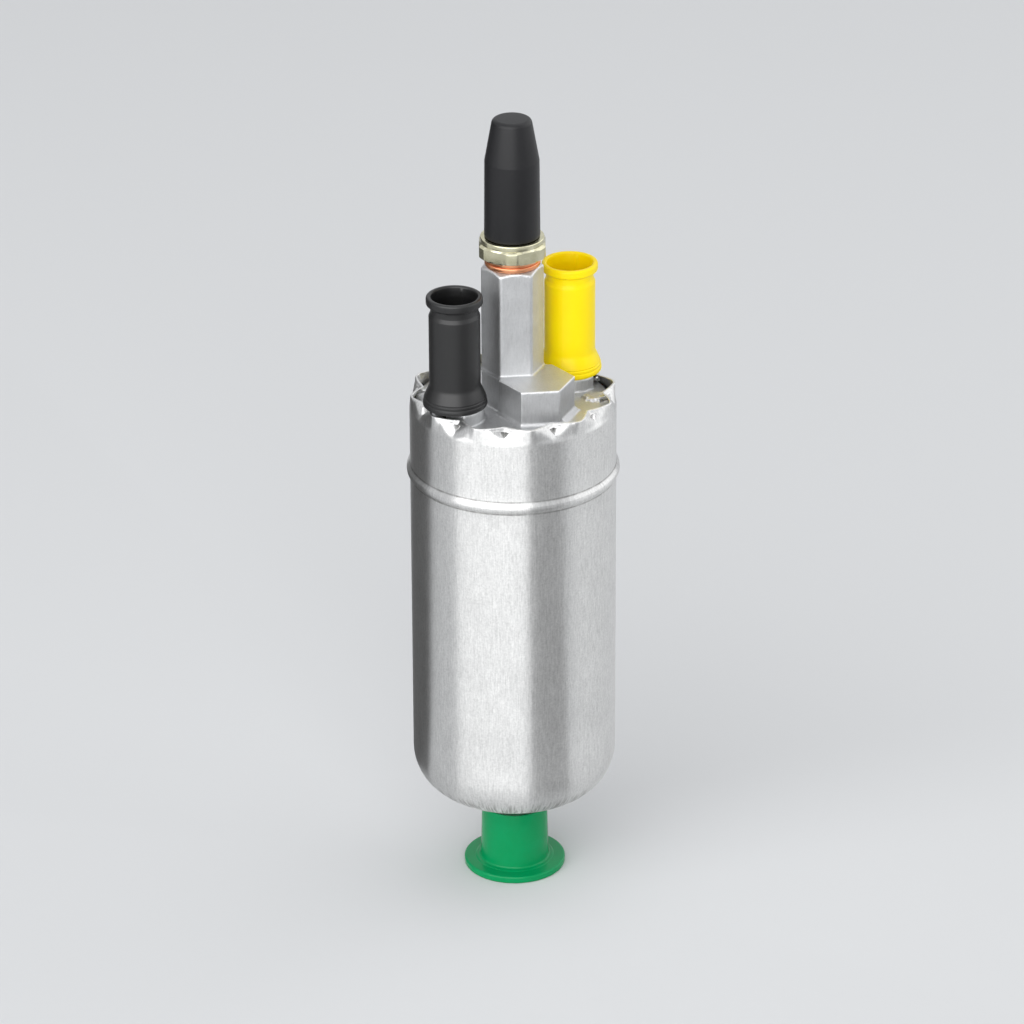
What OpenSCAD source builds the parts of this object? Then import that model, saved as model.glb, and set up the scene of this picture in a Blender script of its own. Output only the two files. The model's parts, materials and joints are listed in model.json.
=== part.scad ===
// In-line electric fuel pump with a roller cell, shown as supplied, with its transport caps on.
// Millimetres, +Z up. The origin is the middle of the green inlet cap's underside, where the pump stands.
// +X runs from the black terminal boot to the yellow one, and the low hexagon of the cover is at -Y.

/* [Can] */
// Outside diameter of the drawn can
can_d = 60; // [56:0.5:64]
// Thickness of the can's wall
can_wall = 1.2; // [0.8:0.1:1.6]
// Height of the can from its underside to its crimped edge
can_h = 129.1; // [122:0.5:145]
// Height of the can's underside over the face that the pump stands on
can_lift = 26.3; // [24:0.1:34]
// Radius of the can's bottom corner
can_corner_r = 14; // [9:0.5:16]
// Distance from the crimped edge down to the middle of the bead
bead_drop = 24.3; // [20:0.1:34]
// Width of the bead along the can
bead_w = 3.8; // [2.6:0.1:5]
// How far the bead stands out
bead_out = 1; // [0.5:0.1:1.6]

/* [Crimped edge] */
// Number of folds round the edge
fold_count = 12; // [8:1:14]
// How far each fold is pressed in
fold_depth = 3.4; // [2:0.1:4]
// Width of a fold at the edge
fold_w = 9.6; // [7:0.1:11]
// Height of a fold
fold_h = 3.1; // [2:0.1:3.3]
// Angle of the first fold from +X
fold_angle = 17.9; // [0:0.5:30]
// How far the edge stands over the cover's face
edge_over_cover = 3.4; // [3.4:0.1:6]

/* [Inlet] */
// Major diameter of the inlet thread
inlet_thread_d = 16; // [14:0.5:16.4]
// Length of the inlet thread
inlet_thread_l = 13; // [8:0.5:14]
// Diameter of the collar that the cap grips
inlet_collar_d = 17.4; // [16.8:0.1:18.4]
// Diameter of the fuel way through the inlet
inlet_bore_d = 10; // [7:0.5:12]
// Diameter of the flange that clamps the inlet inside the can
inlet_flange_d = 29; // [26:0.5:30]
// Thickness of that flange
inlet_flange_t = 4; // [3:0.1:5]
// Thickness of the gasket under that flange
gasket_t = 1; // [0.6:0.1:1.6]

/* [Inlet cap] */
// Diameter of the cap's closed flange
cap_flange_d = 30.2; // [26:0.2:34]
// Thickness of that flange
cap_flange_t = 2.2; // [1.6:0.1:3]
// Outside diameter of the cap at its flange
cap_base_d = 21; // [20.4:0.1:23]
// Height of the cap up to its open edge
cap_h = 20; // [19:0.1:23]
// Wall of the cap at its open edge
cap_wall = 0.75; // [0.6:0.05:1.4]

/* [Roller cell] */
// Height of the intake housing up to the cell
housing_h = 15.5; // [14:0.5:18]
// Height of the cell
cell_h = 12; // [9:0.5:16]
// Thickness of the cam ring at its thin side
cell_wall = 7.4; // [7:0.1:8.4]
// How far that bore is off the shaft
cell_offset = 1.5; // [0.8:0.1:2]
// Clearance between the rotor and the nearest wall of the bore
rotor_gap = 0.2; // [0.1:0.05:0.5]
// Diameter of a roller
roller_d = 7.1; // [6:0.1:8]
// Gap on each side of a roller in its slot
roller_gap = 0.1; // [0.05:0.01:0.2]
// Thickness of the discharge plate
plate_t = 6.5; // [6:0.5:9]
// Thread diameter of the plate screws
screw_d = 4; // [3:0.5:4]

/* [Motor] */
// Shaft diameter
shaft_d = 8; // [6:0.5:9]
// Radial clearance of the shaft in its bushes
shaft_gap = 0.03; // [0.02:0.01:0.08]
// Thickness of a magnet
magnet_t = 5.6; // [5:0.1:7.4]
// Air gap between the magnets and the armature's laminated core
air_gap = 0.6; // [0.4:0.05:1]
// Wall of the steel flux ring
flux_wall = 2.2; // [1.6:0.1:2.4]
// Angle covered by one magnet
magnet_angle = 132; // [110:1:140]
// Number of armature slots
slot_count = 8; // [6:1:9]
// Diameter of the round part of a slot
slot_d = 5.4; // [4.4:0.1:6]
// Height of the winding head at each end of the core
head_h = 8; // [6:0.5:10]
// Outside diameter of the commutator
comm_d = 39; // [37:0.5:39.6]
// Thickness of the commutator bars
bar_t = 2.4; // [1.6:0.1:3]

/* [Brush gear] */
// Size of a brush towards the shaft
brush_w = 6; // [5:0.1:6.6]
// Size of a brush along the commutator
brush_l = 8; // [6:0.5:9]
// Height of a brush
brush_h = 8.5; // [7:0.5:10]
// Distance of the brushes from the shaft
brush_r = 15.4; // [15:0.1:15.8]
// Clearance round a brush in its tube
brush_gap = 0.15; // [0.1:0.05:0.3]
// Thickness of the plastic deck that carries the brush tubes
deck_t = 3; // [2:0.5:4]

/* [Cover] */
// Thickness of the cover's disc
cover_t = 10; // [9.5:0.5:12]
// Depth of the cover's skirt
skirt_h = 13; // [12:0.5:16]
// Width across the flats of the tall hexagon
post_af = 16; // [15.4:0.1:18]
// Height of the tall hexagon over the cover's face
post_h = 42.6; // [32:0.2:50]
// Width across the flats of the low hexagon
block_af = 19.2; // [15:0.1:20]
// Height of the low hexagon
block_h = 10.6; // [6:0.2:14]
// Distance of the low hexagon from the axis
block_off = 11.3; // [10.6:0.1:12]
// Distance of a terminal from the can's outer wall
terminal_inset = 9.3; // [8.8:0.1:9.5]
// Diameter of the cast boss under each terminal
boss_d = 16.8; // [14:0.2:17.4]
// Height of that boss
boss_h = 4; // [3:0.1:5]

/* [Terminals] */
// Thread diameter of the stud in the yellow boot
stud_a_d = 6; // [5:1:6]
// Thread diameter of the stud in the black boot
stud_b_d = 5; // [4:1:6]
// Height of the studs over their bosses
stud_h = 22; // [20:0.5:27]
// Diameter of the insulating bush over the cover
bush_flange_d = 12.2; // [11:0.1:12.3]
// Height of that bush over the boss
bush_flange_h = 5; // [4.6:0.1:6]

/* [Terminal boots] */
// Length of a boot
boot_h = 33.8; // [30:0.2:38]
// Outside diameter of a boot's tube
boot_d = 14.8; // [14.6:0.1:16]
// Wall of a boot's tube
boot_wall = 1; // [0.8:0.05:1.1]
// Outside diameter of the bell at a boot's foot
bell_d = 18.6; // [17:0.1:19]
// Outside diameter of a boot's top lip
lip_d = 16.3; // [15.6:0.1:17.4]

/* [Outlet] */
// Major diameter of the outlet thread
outlet_thread_d = 12; // [10:0.5:12]
// Height of the outlet stud over the valve's collar
outlet_stud_h = 22.7; // [18:0.5:24]
// Thickness of the copper sealing washer
washer_t = 3.1; // [1.5:0.1:4]
// Outside diameter of that washer
washer_d = 16.2; // [15:0.1:17]
// Width across the flats of the check valve's hexagon
valve_af = 19; // [17:0.1:20]
// Height of that hexagon
valve_hex_h = 4.1; // [3:0.1:8]
// Diameter of the round collar on the hexagon
valve_collar_d = 18.5; // [16.6:0.1:19]
// Height of that collar
valve_collar_h = 1.5; // [0.8:0.1:2.5]
// Diameter of the fuel way up to the valve seat
valve_bore_d = 4.8; // [4:0.1:5]

/* [Outlet cap] */
// Length of the cap
tip_h = 35.5; // [33:0.1:40]
// Outside diameter at its open end
tip_d = 16.1; // [15.9:0.1:17]
// Outside diameter of its flat top
tip_top_d = 11; // [9:0.2:12]
// Length of its cone
tip_cone_h = 12.6; // [9:0.1:14]
// Wall of the cap
tip_wall = 1.05; // [0.8:0.05:1.1]

/* [Hidden] */
$fn = 96;
// Overshoot of cutting tools, so that no cut ends flush with a face
cut = 0.5;
// Radial gap of a part that is slipped into, or on to, another one
slip = 0.3;
// Radial gap of a part that is pressed or screwed home, drawn free of overlap
snug = 0.02;
// Gap between a cap, boot or valve part and the seat that it rests on
seat_gap = 0.2;

// Radii and heights of the can
can_r = can_d / 2;
can_in_r = can_r - can_wall;
fit_r = can_in_r - slip;
can_floor_z = can_lift + can_wall;
can_top_z = can_lift + can_h;
bead_z = can_top_z - bead_drop;
fold_foot_z = can_top_z - fold_h;
straight_z = can_lift + can_corner_r;
// Wall behind a fold, as measured across its slope, and what is trimmed off the edge once it is folded
fold_wall = can_wall * 1.2;
trim_h = 1;

// Heights of the stack, from the inlet up
inlet_flange_z = can_floor_z + gasket_t;
housing_z = inlet_flange_z + inlet_flange_t;
cell_z = housing_z + housing_h;
plate_z = cell_z + cell_h;
flux_z = plate_z + plate_t;

// Heights of the stack, from the cover down
cover_z = can_top_z - edge_over_cover;
cover_under_z = cover_z - cover_t;
deck_top_z = cover_under_z - skirt_h;
deck_z = deck_top_z - deck_t;
deck_skirt_h = 2;
flux_top_z = deck_z - deck_skirt_h;

// Inlet fitting and its cap
inlet_end_z = cap_flange_t + slip;
inlet_thread_top_z = inlet_end_z + inlet_thread_l;
inlet_collar_r = inlet_collar_d / 2;
cap_bore_r = inlet_collar_r + slip;
gasket_in_r = inlet_collar_r + 1;

// O-rings and their grooves
seal_r = 1.15;
seal_groove_w = 2.6;
seal_groove_d = 2.1;

// Intake housing and cell
housing_foot_r = inlet_flange_d / 2;
chamber_wall = 2.5;
chamber_r = housing_foot_r - chamber_wall;
chamber_roof = 8;
chamber_top_z = cell_z - chamber_roof;
cell_bore_r = fit_r - cell_wall - cell_offset;
port_w = 3.1;
port_edge = 1;
port_out_r = cell_bore_r - port_edge - cell_offset;
port_in_r = port_out_r - port_w;
port_angle = 96;
run_gap = 0.2;
rotor_r = cell_bore_r - cell_offset - rotor_gap;
roller_count = 5;
roller_r = roller_d / 2;
roller_sink = 0.05;
roller_orbit_r = rotor_r - roller_r - roller_sink;
roller_slot_r = roller_r + roller_gap;
drive_flat = shaft_d * 0.8;
screw_hole_gap = 0.1;
screw_r = fit_r - seal_groove_d - screw_d / 2;
screw_depth = 5;

// Relief valve in the thick side of the cell
relief_y = (cell_bore_r - cell_offset + fit_r) / 2 + slip / 2;
relief_bore_r = 2.9;
relief_ball_r = 2.5;
relief_seat_r = 1.7;
relief_seat_t = 1.6;
relief_seat_z = flux_z - relief_seat_t;
relief_ball_z = relief_seat_z - sqrt(pow(relief_ball_r, 2) - pow(relief_seat_r, 2)) - seat_gap / 2;
relief_pocket = 4;
relief_floor_z = cell_z - relief_pocket;
relief_spring_r = 1.7;
relief_wire_r = 0.3;
relief_spring_top_z = relief_ball_z - sqrt(pow(relief_ball_r, 2) - pow(relief_spring_r, 2));

// Motor
shaft_r = shaft_d / 2;
bush_bore_r = shaft_r + shaft_gap;
bush_wall = 2.3;
bush_r = shaft_r + bush_wall;
flux_in_r = fit_r - flux_wall;
magnet_glue = 0.1;
magnet_out_r = flux_in_r - magnet_glue;
magnet_in_r = magnet_out_r - magnet_t;
core_r = magnet_in_r - air_gap;
bar_gap = 0.6;
bar_top_z = deck_z - bar_gap;
hub_plate_t = 2;
hub_wall = 3;
hub_z = bar_top_z - bar_t - hub_plate_t;
core_top_z = hub_z - head_h;
lower_boss_h = 3;
lower_boss_wall = 2.5;
head_gap = 1.5;
core_z = flux_z + lower_boss_h + head_gap + head_h;
core_h = core_top_z - core_z;
slot_lip = 2.4;
slot_pitch_r = core_r - slot_d / 2 - slot_lip;
shoulder_r = shaft_r + 1;
thrust_t = 1;
thrust_gap = 0.1;
upper_boss_h = 8;
upper_boss_z = cover_under_z - upper_boss_h;
thrust_z = upper_boss_z - thrust_t - thrust_gap;
shaft_end_z = cell_z + 2 * run_gap;
shaft_end_gap = 1;
shaft_top_z = cover_under_z - shaft_end_gap;

// Brush gear
tube_wall = 1;
tube_gap = 0.5;
tube_top_z = cover_under_z - tube_gap;
brush_seat = 0.1;
brush_z = bar_top_z + brush_seat;
brush_top_z = brush_z + brush_h;
brush_spring_r = 2.2;
brush_wire_r = 0.3;

// Cover and outlet post
skirt_wall = 2.6;
post_bore_r = 5;
post_top_z = cover_z + post_h;
post_chamfer = 1.2;
thread_depth = 13;
gallery_h = 3.5;
gallery_floor = 1.5;
gallery_z = cover_under_z + gallery_floor;
boss_wall = 3.3;
upper_boss_r = bush_r + boss_wall;
feed_r = 1.1;
feed_pitch_r = bush_r + slip + feed_r;
fold_clearance = 0.7;
boss_limit_r = can_in_r - fold_depth - fold_clearance;
cover_groove_drop = 3;
cover_groove_z = cover_under_z + cover_groove_drop;
housing_groove_drop = 4;
housing_groove_z = cell_z - housing_groove_drop;

// Terminals
terminal_r = can_r - terminal_inset;
boss_top_z = cover_z + boss_h;
stud_a_r = stud_a_d / 2;
stud_b_r = stud_b_d / 2;
stud_gap = 0.1;
thread_root = 0.8;
sleeve_wall = 1.4;
strip_t = 0.8;
stud_head_h = 2.4;
stud_head_r = 4.6;
lower_washer_t = 1.6;
strip_top_z = cover_under_z - lower_washer_t;
bush_top_z = boss_top_z + bush_flange_h;
washer_plate_t = 1;
washer_plate_w = 2.6;
nut_h = 4.4;
nut_top_z = bush_top_z + washer_plate_t + nut_h;
stud_top_z = boss_top_z + stud_h;

// Boots
boot_z = boss_top_z + seat_gap;
boot_r = boot_d / 2;
bell_r = bell_d / 2;
lip_r = lip_d / 2;

// Outlet
washer_z = post_top_z;
valve_z = washer_z + washer_t;
collar_z = valve_z + valve_hex_h;
tip_z = collar_z + valve_collar_h;
outlet_top_z = tip_z + outlet_stud_h;
outlet_thread_r = outlet_thread_d / 2;
valve_grip_r = tip_d / 2 - tip_wall - slip;
valve_grip_h = 3.2;
chamber_bore_r = 3.6;
poppet_r = 3;
seat_cone_h = 1.2;
seat_sink = 0.9;
seat_z = valve_z + seat_sink;
chamber_z = seat_z + seat_cone_h;
stop_t = 3;
stop_step = 0.4;
stop_r = chamber_bore_r + stop_step;
stop_sink = 1;
stop_z = outlet_top_z - stop_t - stop_sink;
poppet_z = seat_z - seat_gap / 2;
poppet_head_h = 2.2;
poppet_top_z = chamber_z + poppet_head_h;
valve_spring_r = 2.3;
valve_wire_r = 0.3;
tip_top_z = tip_z + seat_gap + tip_h;

// Helpers

// Flat ring from z to z + h
module ring(out_r, in_r, z, h) {
    translate([0, 0, z])
        difference() {
            cylinder(r = out_r, h = h);
            translate([0, 0, -cut]) cylinder(r = in_r, h = h + 2 * cut);
        }
}

// Hexagonal bar whose flats face +X and -X
module hex_bar(af, h) {
    rotate(30) cylinder(r = af / sqrt(3), h = h, $fn = 6);
}

// Part of a ring from angle a to angle a + sweep
module arc_bar(out_r, in_r, z, h, a, sweep) {
    rotate(a) translate([0, 0, z])
        rotate_extrude(angle = sweep) translate([in_r, 0]) square([out_r - in_r, h]);
}

// Solid of revolution from a list of [radius, height] points
module turned(points) {
    rotate_extrude() polygon(points);
}

// The four screw places round the cell
module at_screws() {
    for (i = [0:3]) rotate(45 + 90 * i) translate([screw_r, 0, 0]) children();
}

// Ring of round wire wound upwards from z = 0, as one closed tube
function coil_point(mean_r, wire_r, pitch, a, b) =
    [(mean_r + wire_r * cos(b)) * cos(a), (mean_r + wire_r * cos(b)) * sin(a),
     pitch * a / 360 + wire_r * sin(b)];

module coil_spring(mean_r, wire_r, length, turns) {
    rings_per_turn = 12;
    sides = 6;
    rings = turns * rings_per_turn;
    pitch = (length - 2 * wire_r) / turns;
    points = [for (i = [0:rings], k = [0:sides - 1])
        coil_point(mean_r, wire_r, pitch, i * 360 / rings_per_turn, k * 360 / sides)];
    sides_of_tube = [for (i = [0:rings - 1], k = [0:sides - 1], half = [0, 1])
        let (a = i * sides + k, b = i * sides + (k + 1) % sides)
        half == 0 ? [a, b, b + sides] : [a, b + sides, a + sides]];
    first_end = [for (k = [sides - 1:-1:0]) k];
    last_end = [for (k = [0:sides - 1]) rings * sides + k];
    translate([0, 0, wire_r])
        polyhedron(points, concat(sides_of_tube, [first_end], [last_end]));
}

// O-ring that fills a groove cut into a part of radius fit_r
module o_ring(z) {
    translate([0, 0, z])
        rotate_extrude() translate([fit_r - seal_groove_d + snug + seal_r, 0]) circle(r = seal_r, $fn = 32);
}

module o_groove(z) {
    ring(fit_r + cut, fit_r - seal_groove_d, z - seal_groove_w / 2, seal_groove_w);
}

// Can

// Wedge between the two flat sides of a fold, pushed inwards by deeper and open to the outside.
// Its ridge leans in by fold_depth over fold_h; it is a tetrahedron with its apex outside the wall.
module fold_wedge(deeper, top_z) {
    out_x = can_r + fold_depth;
    edge_x = sqrt(pow(can_r, 2) - pow(fold_w / 2, 2));
    spread = (fold_w / 2) / (edge_x - can_r + fold_depth);
    ridge_x = can_r - deeper - fold_depth * (top_z - fold_foot_z) / fold_h;
    apex_z = fold_foot_z - (out_x - can_r + deeper) * fold_h / fold_depth;
    corner_y = spread * (out_x - ridge_x);
    polyhedron(
        [[ridge_x, 0, top_z], [out_x, corner_y, top_z], [out_x, -corner_y, top_z], [out_x, 0, apex_z]],
        [[0, 1, 2], [0, 3, 1], [0, 2, 3], [1, 3, 2]]
    );
}

module at_folds() {
    for (i = [0:fold_count - 1]) rotate(fold_angle + i * 360 / fold_count) children();
}

module can() {
    corner_in_r = can_corner_r - can_wall;
    corner_c = can_r - can_corner_r;
    hole_r = inlet_collar_r + slip;
    color("silver")
        difference() {
            union() {
                difference() {
                    union() {
                        translate([0, 0, straight_z])
                            cylinder(r = can_r, h = can_top_z + trim_h - straight_z);
                        cup(can_r, corner_c, can_corner_r, can_lift);
                        bead(can_r + bead_out, bead_w / 2);
                    }
                    translate([0, 0, straight_z - cut])
                        cylinder(r = can_in_r, h = can_top_z + trim_h - straight_z + 2 * cut);
                    cup(can_in_r, corner_c, corner_in_r, can_floor_z);
                    translate([0, 0, can_lift - cut]) cylinder(r = hole_r, h = can_wall + 2 * cut);
                }
                intersection() {
                    translate([0, 0, fold_foot_z - 2 * can_wall])
                        cylinder(r = can_r - can_wall / 2, h = fold_h + 2 * can_wall + trim_h);
                    at_folds() fold_wedge(fold_wall, can_top_z + trim_h);
                }
            }
            at_folds() fold_wedge(0, can_top_z + trim_h + cut);
            translate([0, 0, can_top_z]) cylinder(r = can_r + bead_out, h = trim_h + cut);
        }
}

// Dished bottom of the can, filled, up to where its wall is straight
module cup(r, corner_c, corner_r, z) {
    translate([0, 0, z]) cylinder(r = corner_c, h = corner_r);
    rotate_extrude()
        intersection() {
            translate([corner_c, z + corner_r]) circle(r = corner_r);
            translate([corner_c - cut, z]) square([corner_r + cut, corner_r]);
        }
}

// Rounded bead round the can
module bead(crest_r, half_w) {
    round_r = (pow(half_w, 2) + pow(bead_out, 2)) / (2 * bead_out);
    translate([0, 0, bead_z])
        rotate_extrude()
            intersection() {
                translate([crest_r - round_r, 0]) circle(r = round_r);
                translate([can_r - can_wall / 2, -half_w]) square([can_wall / 2 + bead_out, 2 * half_w]);
            }
}

// Inlet

module inlet_fitting() {
    chamfer = 1;
    undercut_r = inlet_thread_d / 2 - 1;
    undercut_h = 2;
    collar_z0 = inlet_thread_top_z + undercut_h;
    color("lightgray")
        difference() {
            turned([
                [0, inlet_end_z], [inlet_thread_d / 2 - chamfer, inlet_end_z],
                [inlet_thread_d / 2, inlet_end_z + chamfer], [inlet_thread_d / 2, inlet_thread_top_z],
                [undercut_r, inlet_thread_top_z], [undercut_r, collar_z0],
                [inlet_collar_r, collar_z0], [inlet_collar_r, inlet_flange_z],
                [inlet_flange_d / 2, inlet_flange_z], [inlet_flange_d / 2, housing_z], [0, housing_z]
            ]);
            translate([0, 0, inlet_end_z - cut])
                cylinder(r = inlet_bore_d / 2, h = housing_z - inlet_end_z + 2 * cut);
        }
}

module inlet_gasket() {
    color("dimgray") ring(inlet_flange_d / 2 - 0.5, gasket_in_r, can_floor_z, gasket_t);
}

// Slotted thimble with a flange that lies on the inlet fitting
module inlet_strainer() {
    rim_r = chamber_r - 1;
    rim_t = 0.6;
    thimble_r = inlet_bore_d / 2 + 1.2;
    wall = 0.5;
    thimble_h = 6;
    slots = 10;
    color("goldenrod")
        difference() {
            union() {
                translate([0, 0, housing_z]) cylinder(r = rim_r, h = rim_t);
                translate([0, 0, housing_z]) cylinder(r = thimble_r, h = thimble_h);
            }
            translate([0, 0, housing_z - cut])
                cylinder(r = thimble_r - wall, h = thimble_h + cut - wall);
            for (i = [0:slots - 1]) rotate(i * 360 / slots)
                translate([thimble_r - wall - cut, -0.8, housing_z + rim_t + 0.8])
                    cube([wall + 2 * cut, 1.6, thimble_h - rim_t - 2.2]);
        }
}

// Green plastic cap, closed and flanged at its foot, slipped over the inlet's collar
module inlet_cap() {
    base_r = cap_base_d / 2;
    top_r = cap_bore_r + cap_wall;
    step_r = base_r + 1.2;
    step_h = 0.35;
    edge = 0.3;
    floor_z = cap_flange_t;
    bore_foot_r = base_r - cap_wall - 0.2;
    color("seagreen")
        turned([
            [0, 0], [cap_flange_d / 2 - edge, 0], [cap_flange_d / 2, edge],
            [cap_flange_d / 2, cap_flange_t - edge], [cap_flange_d / 2 - edge, cap_flange_t],
            [step_r, cap_flange_t], [step_r - step_h, cap_flange_t + step_h],
            [base_r, cap_flange_t + step_h + 0.3], [top_r, cap_h],
            [cap_bore_r, cap_h], [bore_foot_r, floor_z], [0, floor_z]
        ]);
}

// Roller cell

// Intake housing: foot on the inlet's flange, cone that follows the can's corner, flat face to the cell
module intake_housing() {
    cone_top_z = straight_z + slip;
    dome_h = 3;
    drain_r = 1.2;
    drain_y = port_out_r - 2 * drain_r;
    drain_z = relief_floor_z + drain_r + slip;
    drain_foot_z = chamber_top_z - dome_h / 2;
    color("darkgray")
        difference() {
            turned([
                [0, housing_z], [housing_foot_r, housing_z], [fit_r, cone_top_z],
                [fit_r, cell_z], [0, cell_z]
            ]);
            translate([0, 0, housing_z - cut])
                cylinder(r = chamber_r, h = chamber_top_z - housing_z + cut);
            arc_bar(port_out_r, port_in_r, chamber_top_z - dome_h,
                cell_z - chamber_top_z + dome_h + cut, 180 - port_angle / 2, port_angle);
            translate([0, 0, chamber_top_z - dome_h]) cylinder(r = port_out_r, h = dome_h);
            at_screws() translate([0, 0, cell_z - screw_depth - 1])
                cylinder(r = screw_d / 2 + snug, h = screw_depth + 1 + cut);
            translate([0, relief_y, relief_floor_z])
                cylinder(r = relief_bore_r, h = relief_pocket + cut);
            translate([0, relief_y, drain_z])
                rotate([90, 0, 0]) cylinder(r = drain_r, h = relief_y - drain_y);
            translate([0, drain_y, drain_foot_z]) cylinder(r = drain_r, h = drain_z - drain_foot_z);
            o_groove(housing_groove_z);
        }
}

module housing_seal() {
    color("black") o_ring(housing_groove_z);
}

module cam_ring() {
    color("slategray")
        difference() {
            translate([0, 0, cell_z]) cylinder(r = fit_r, h = cell_h);
            translate([0, -cell_offset, cell_z - cut]) cylinder(r = cell_bore_r, h = cell_h + 2 * cut);
            at_screws() translate([0, 0, cell_z - cut])
                cylinder(r = screw_d / 2 + screw_hole_gap, h = cell_h + 2 * cut);
            translate([0, relief_y, cell_z - cut]) cylinder(r = relief_bore_r, h = cell_h + 2 * cut);
        }
}

module discharge_plate() {
    head_r = screw_d * 0.8;
    boss_r = bush_r + lower_boss_wall;
    color("darkgray")
        difference() {
            union() {
                translate([0, 0, plate_z]) cylinder(r = fit_r, h = plate_t);
                translate([0, 0, flux_z]) cylinder(r = boss_r, h = lower_boss_h);
            }
            translate([0, 0, plate_z - cut])
                cylinder(r = bush_r + snug, h = plate_t + lower_boss_h + 2 * cut);
            arc_bar(port_out_r, port_in_r, plate_z - cut, plate_t + 2 * cut, -port_angle / 2, port_angle);
            at_screws() {
                translate([0, 0, plate_z - cut])
                    cylinder(r = screw_d / 2 + screw_hole_gap, h = plate_t + 2 * cut);
                translate([0, 0, flux_z - screw_d]) cylinder(r = head_r + screw_hole_gap, h = screw_d + cut);
            }
            translate([0, relief_y, plate_z - cut])
                cylinder(r = relief_bore_r, h = plate_t - relief_seat_t + cut);
            translate([0, relief_y, plate_z]) cylinder(r = relief_seat_r, h = plate_t + cut);
        }
}

// Socket-head screws through the plate and the cell into the housing
module plate_screws() {
    head_h = screw_d * 0.95;
    head_z = flux_z - screw_d;
    color("gray")
        at_screws()
            difference() {
                union() {
                    translate([0, 0, cell_z - screw_depth])
                        cylinder(r = screw_d / 2, h = head_z - cell_z + screw_depth);
                    translate([0, 0, head_z]) cylinder(r = screw_d * 0.8, h = head_h);
                }
                translate([0, 0, head_z + head_h / 2]) hex_bar(screw_d * 0.75, head_h);
            }
}

// Outline of the shaft's flats that drive the rotor
module drive_section(r, flat) {
    intersection() {
        circle(r = r);
        square([2 * r + 1, flat], center = true);
    }
}

// Rotor with open slots that the rollers lie in
module pump_rotor() {
    color("gainsboro")
        translate([0, 0, cell_z + run_gap])
            difference() {
                cylinder(r = rotor_r, h = cell_h - 2 * run_gap);
                translate([0, 0, -cut]) linear_extrude(cell_h + 2 * cut)
                    drive_section(shaft_r + shaft_gap, drive_flat + 2 * shaft_gap);
                for (i = [0:roller_count - 1]) rotate(i * 360 / roller_count) {
                    translate([roller_orbit_r, 0, -cut]) cylinder(r = roller_slot_r, h = cell_h + 2 * cut);
                    translate([roller_orbit_r, -roller_slot_r, -cut])
                        cube([rotor_r, 2 * roller_slot_r, cell_h + 2 * cut]);
                }
            }
}

module roller(i) {
    bevel = 0.3;
    h = cell_h - 2 * run_gap;
    color("white")
        rotate((i - 1) * 360 / roller_count) translate([roller_orbit_r, 0, cell_z + run_gap])
            turned([
                [0, 0], [roller_r - bevel, 0], [roller_r, bevel],
                [roller_r, h - bevel], [roller_r - bevel, h], [0, h]
            ]);
}

module relief_ball() {
    color("white") translate([0, relief_y, relief_ball_z]) sphere(r = relief_ball_r);
}

module relief_spring() {
    color("gray") translate([0, relief_y, relief_floor_z])
        coil_spring(relief_spring_r, relief_wire_r, relief_spring_top_z - relief_floor_z - seat_gap, 7);
}

module lower_bush() {
    sink = 2 * run_gap;
    color("peru") ring(bush_r, bush_bore_r, plate_z + sink, plate_t + lower_boss_h - sink);
}

// Motor

module flux_ring() {
    color("dimgray") ring(fit_r, flux_in_r, flux_z, flux_top_z - flux_z);
}

module magnets() {
    overhang = 3;
    magnet_z = core_z - overhang;
    magnet_h = core_h + 2 * overhang;
    color("darkslategray")
        for (side = [0, 180])
            arc_bar(magnet_out_r, magnet_in_r, magnet_z, magnet_h, side - magnet_angle / 2, magnet_angle);
}

// Bent spring strips that hold the magnets apart
module magnet_clips() {
    strip = 0.6;
    inset = 2;
    clip_h = core_h - 2 * inset;
    clip_z = core_z + inset;
    side_gap_angle = 0.6;
    lip_angle = 1.6;
    sweep = 180 - magnet_angle - 2 * side_gap_angle;
    lip_r = magnet_in_r + 0.8;
    color("lightsteelblue")
        for (side = [90, 270])
            difference() {
                arc_bar(magnet_out_r, lip_r, clip_z, clip_h, side - sweep / 2, sweep);
                arc_bar(magnet_out_r - strip, lip_r - cut, clip_z - cut, clip_h + 2 * cut,
                    side - sweep / 2 + lip_angle, sweep - 2 * lip_angle);
            }
}

// Ground shaft with a shoulder at the commutator and two flats at the rotor
module shaft() {
    chamfer = 0.6;
    flats_top_z = plate_z + 2 * run_gap;
    color("lightgray") {
        translate([0, 0, shaft_end_z]) linear_extrude(flats_top_z - shaft_end_z)
            drive_section(shaft_r, drive_flat);
        turned([
            [0, flats_top_z], [shaft_r, flats_top_z], [shaft_r, hub_z],
            [shoulder_r, hub_z], [shoulder_r, thrust_z], [shaft_r, thrust_z],
            [shaft_r, shaft_top_z - chamfer], [shaft_r - chamfer, shaft_top_z], [0, shaft_top_z]
        ]);
    }
}

// Laminated core with round slots that open to the air gap
module armature_core() {
    mouth = 2.2;
    color("slategray")
        translate([0, 0, core_z])
            difference() {
                cylinder(r = core_r, h = core_h);
                translate([0, 0, -cut]) cylinder(r = shaft_r + snug, h = core_h + 2 * cut);
                for (i = [0:slot_count - 1]) rotate(i * 360 / slot_count) {
                    translate([slot_pitch_r, 0, -cut]) cylinder(r = slot_d / 2, h = core_h + 2 * cut);
                    translate([slot_pitch_r, -mouth / 2, -cut]) cube([core_r, mouth, core_h + 2 * cut]);
                }
            }
}

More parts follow.
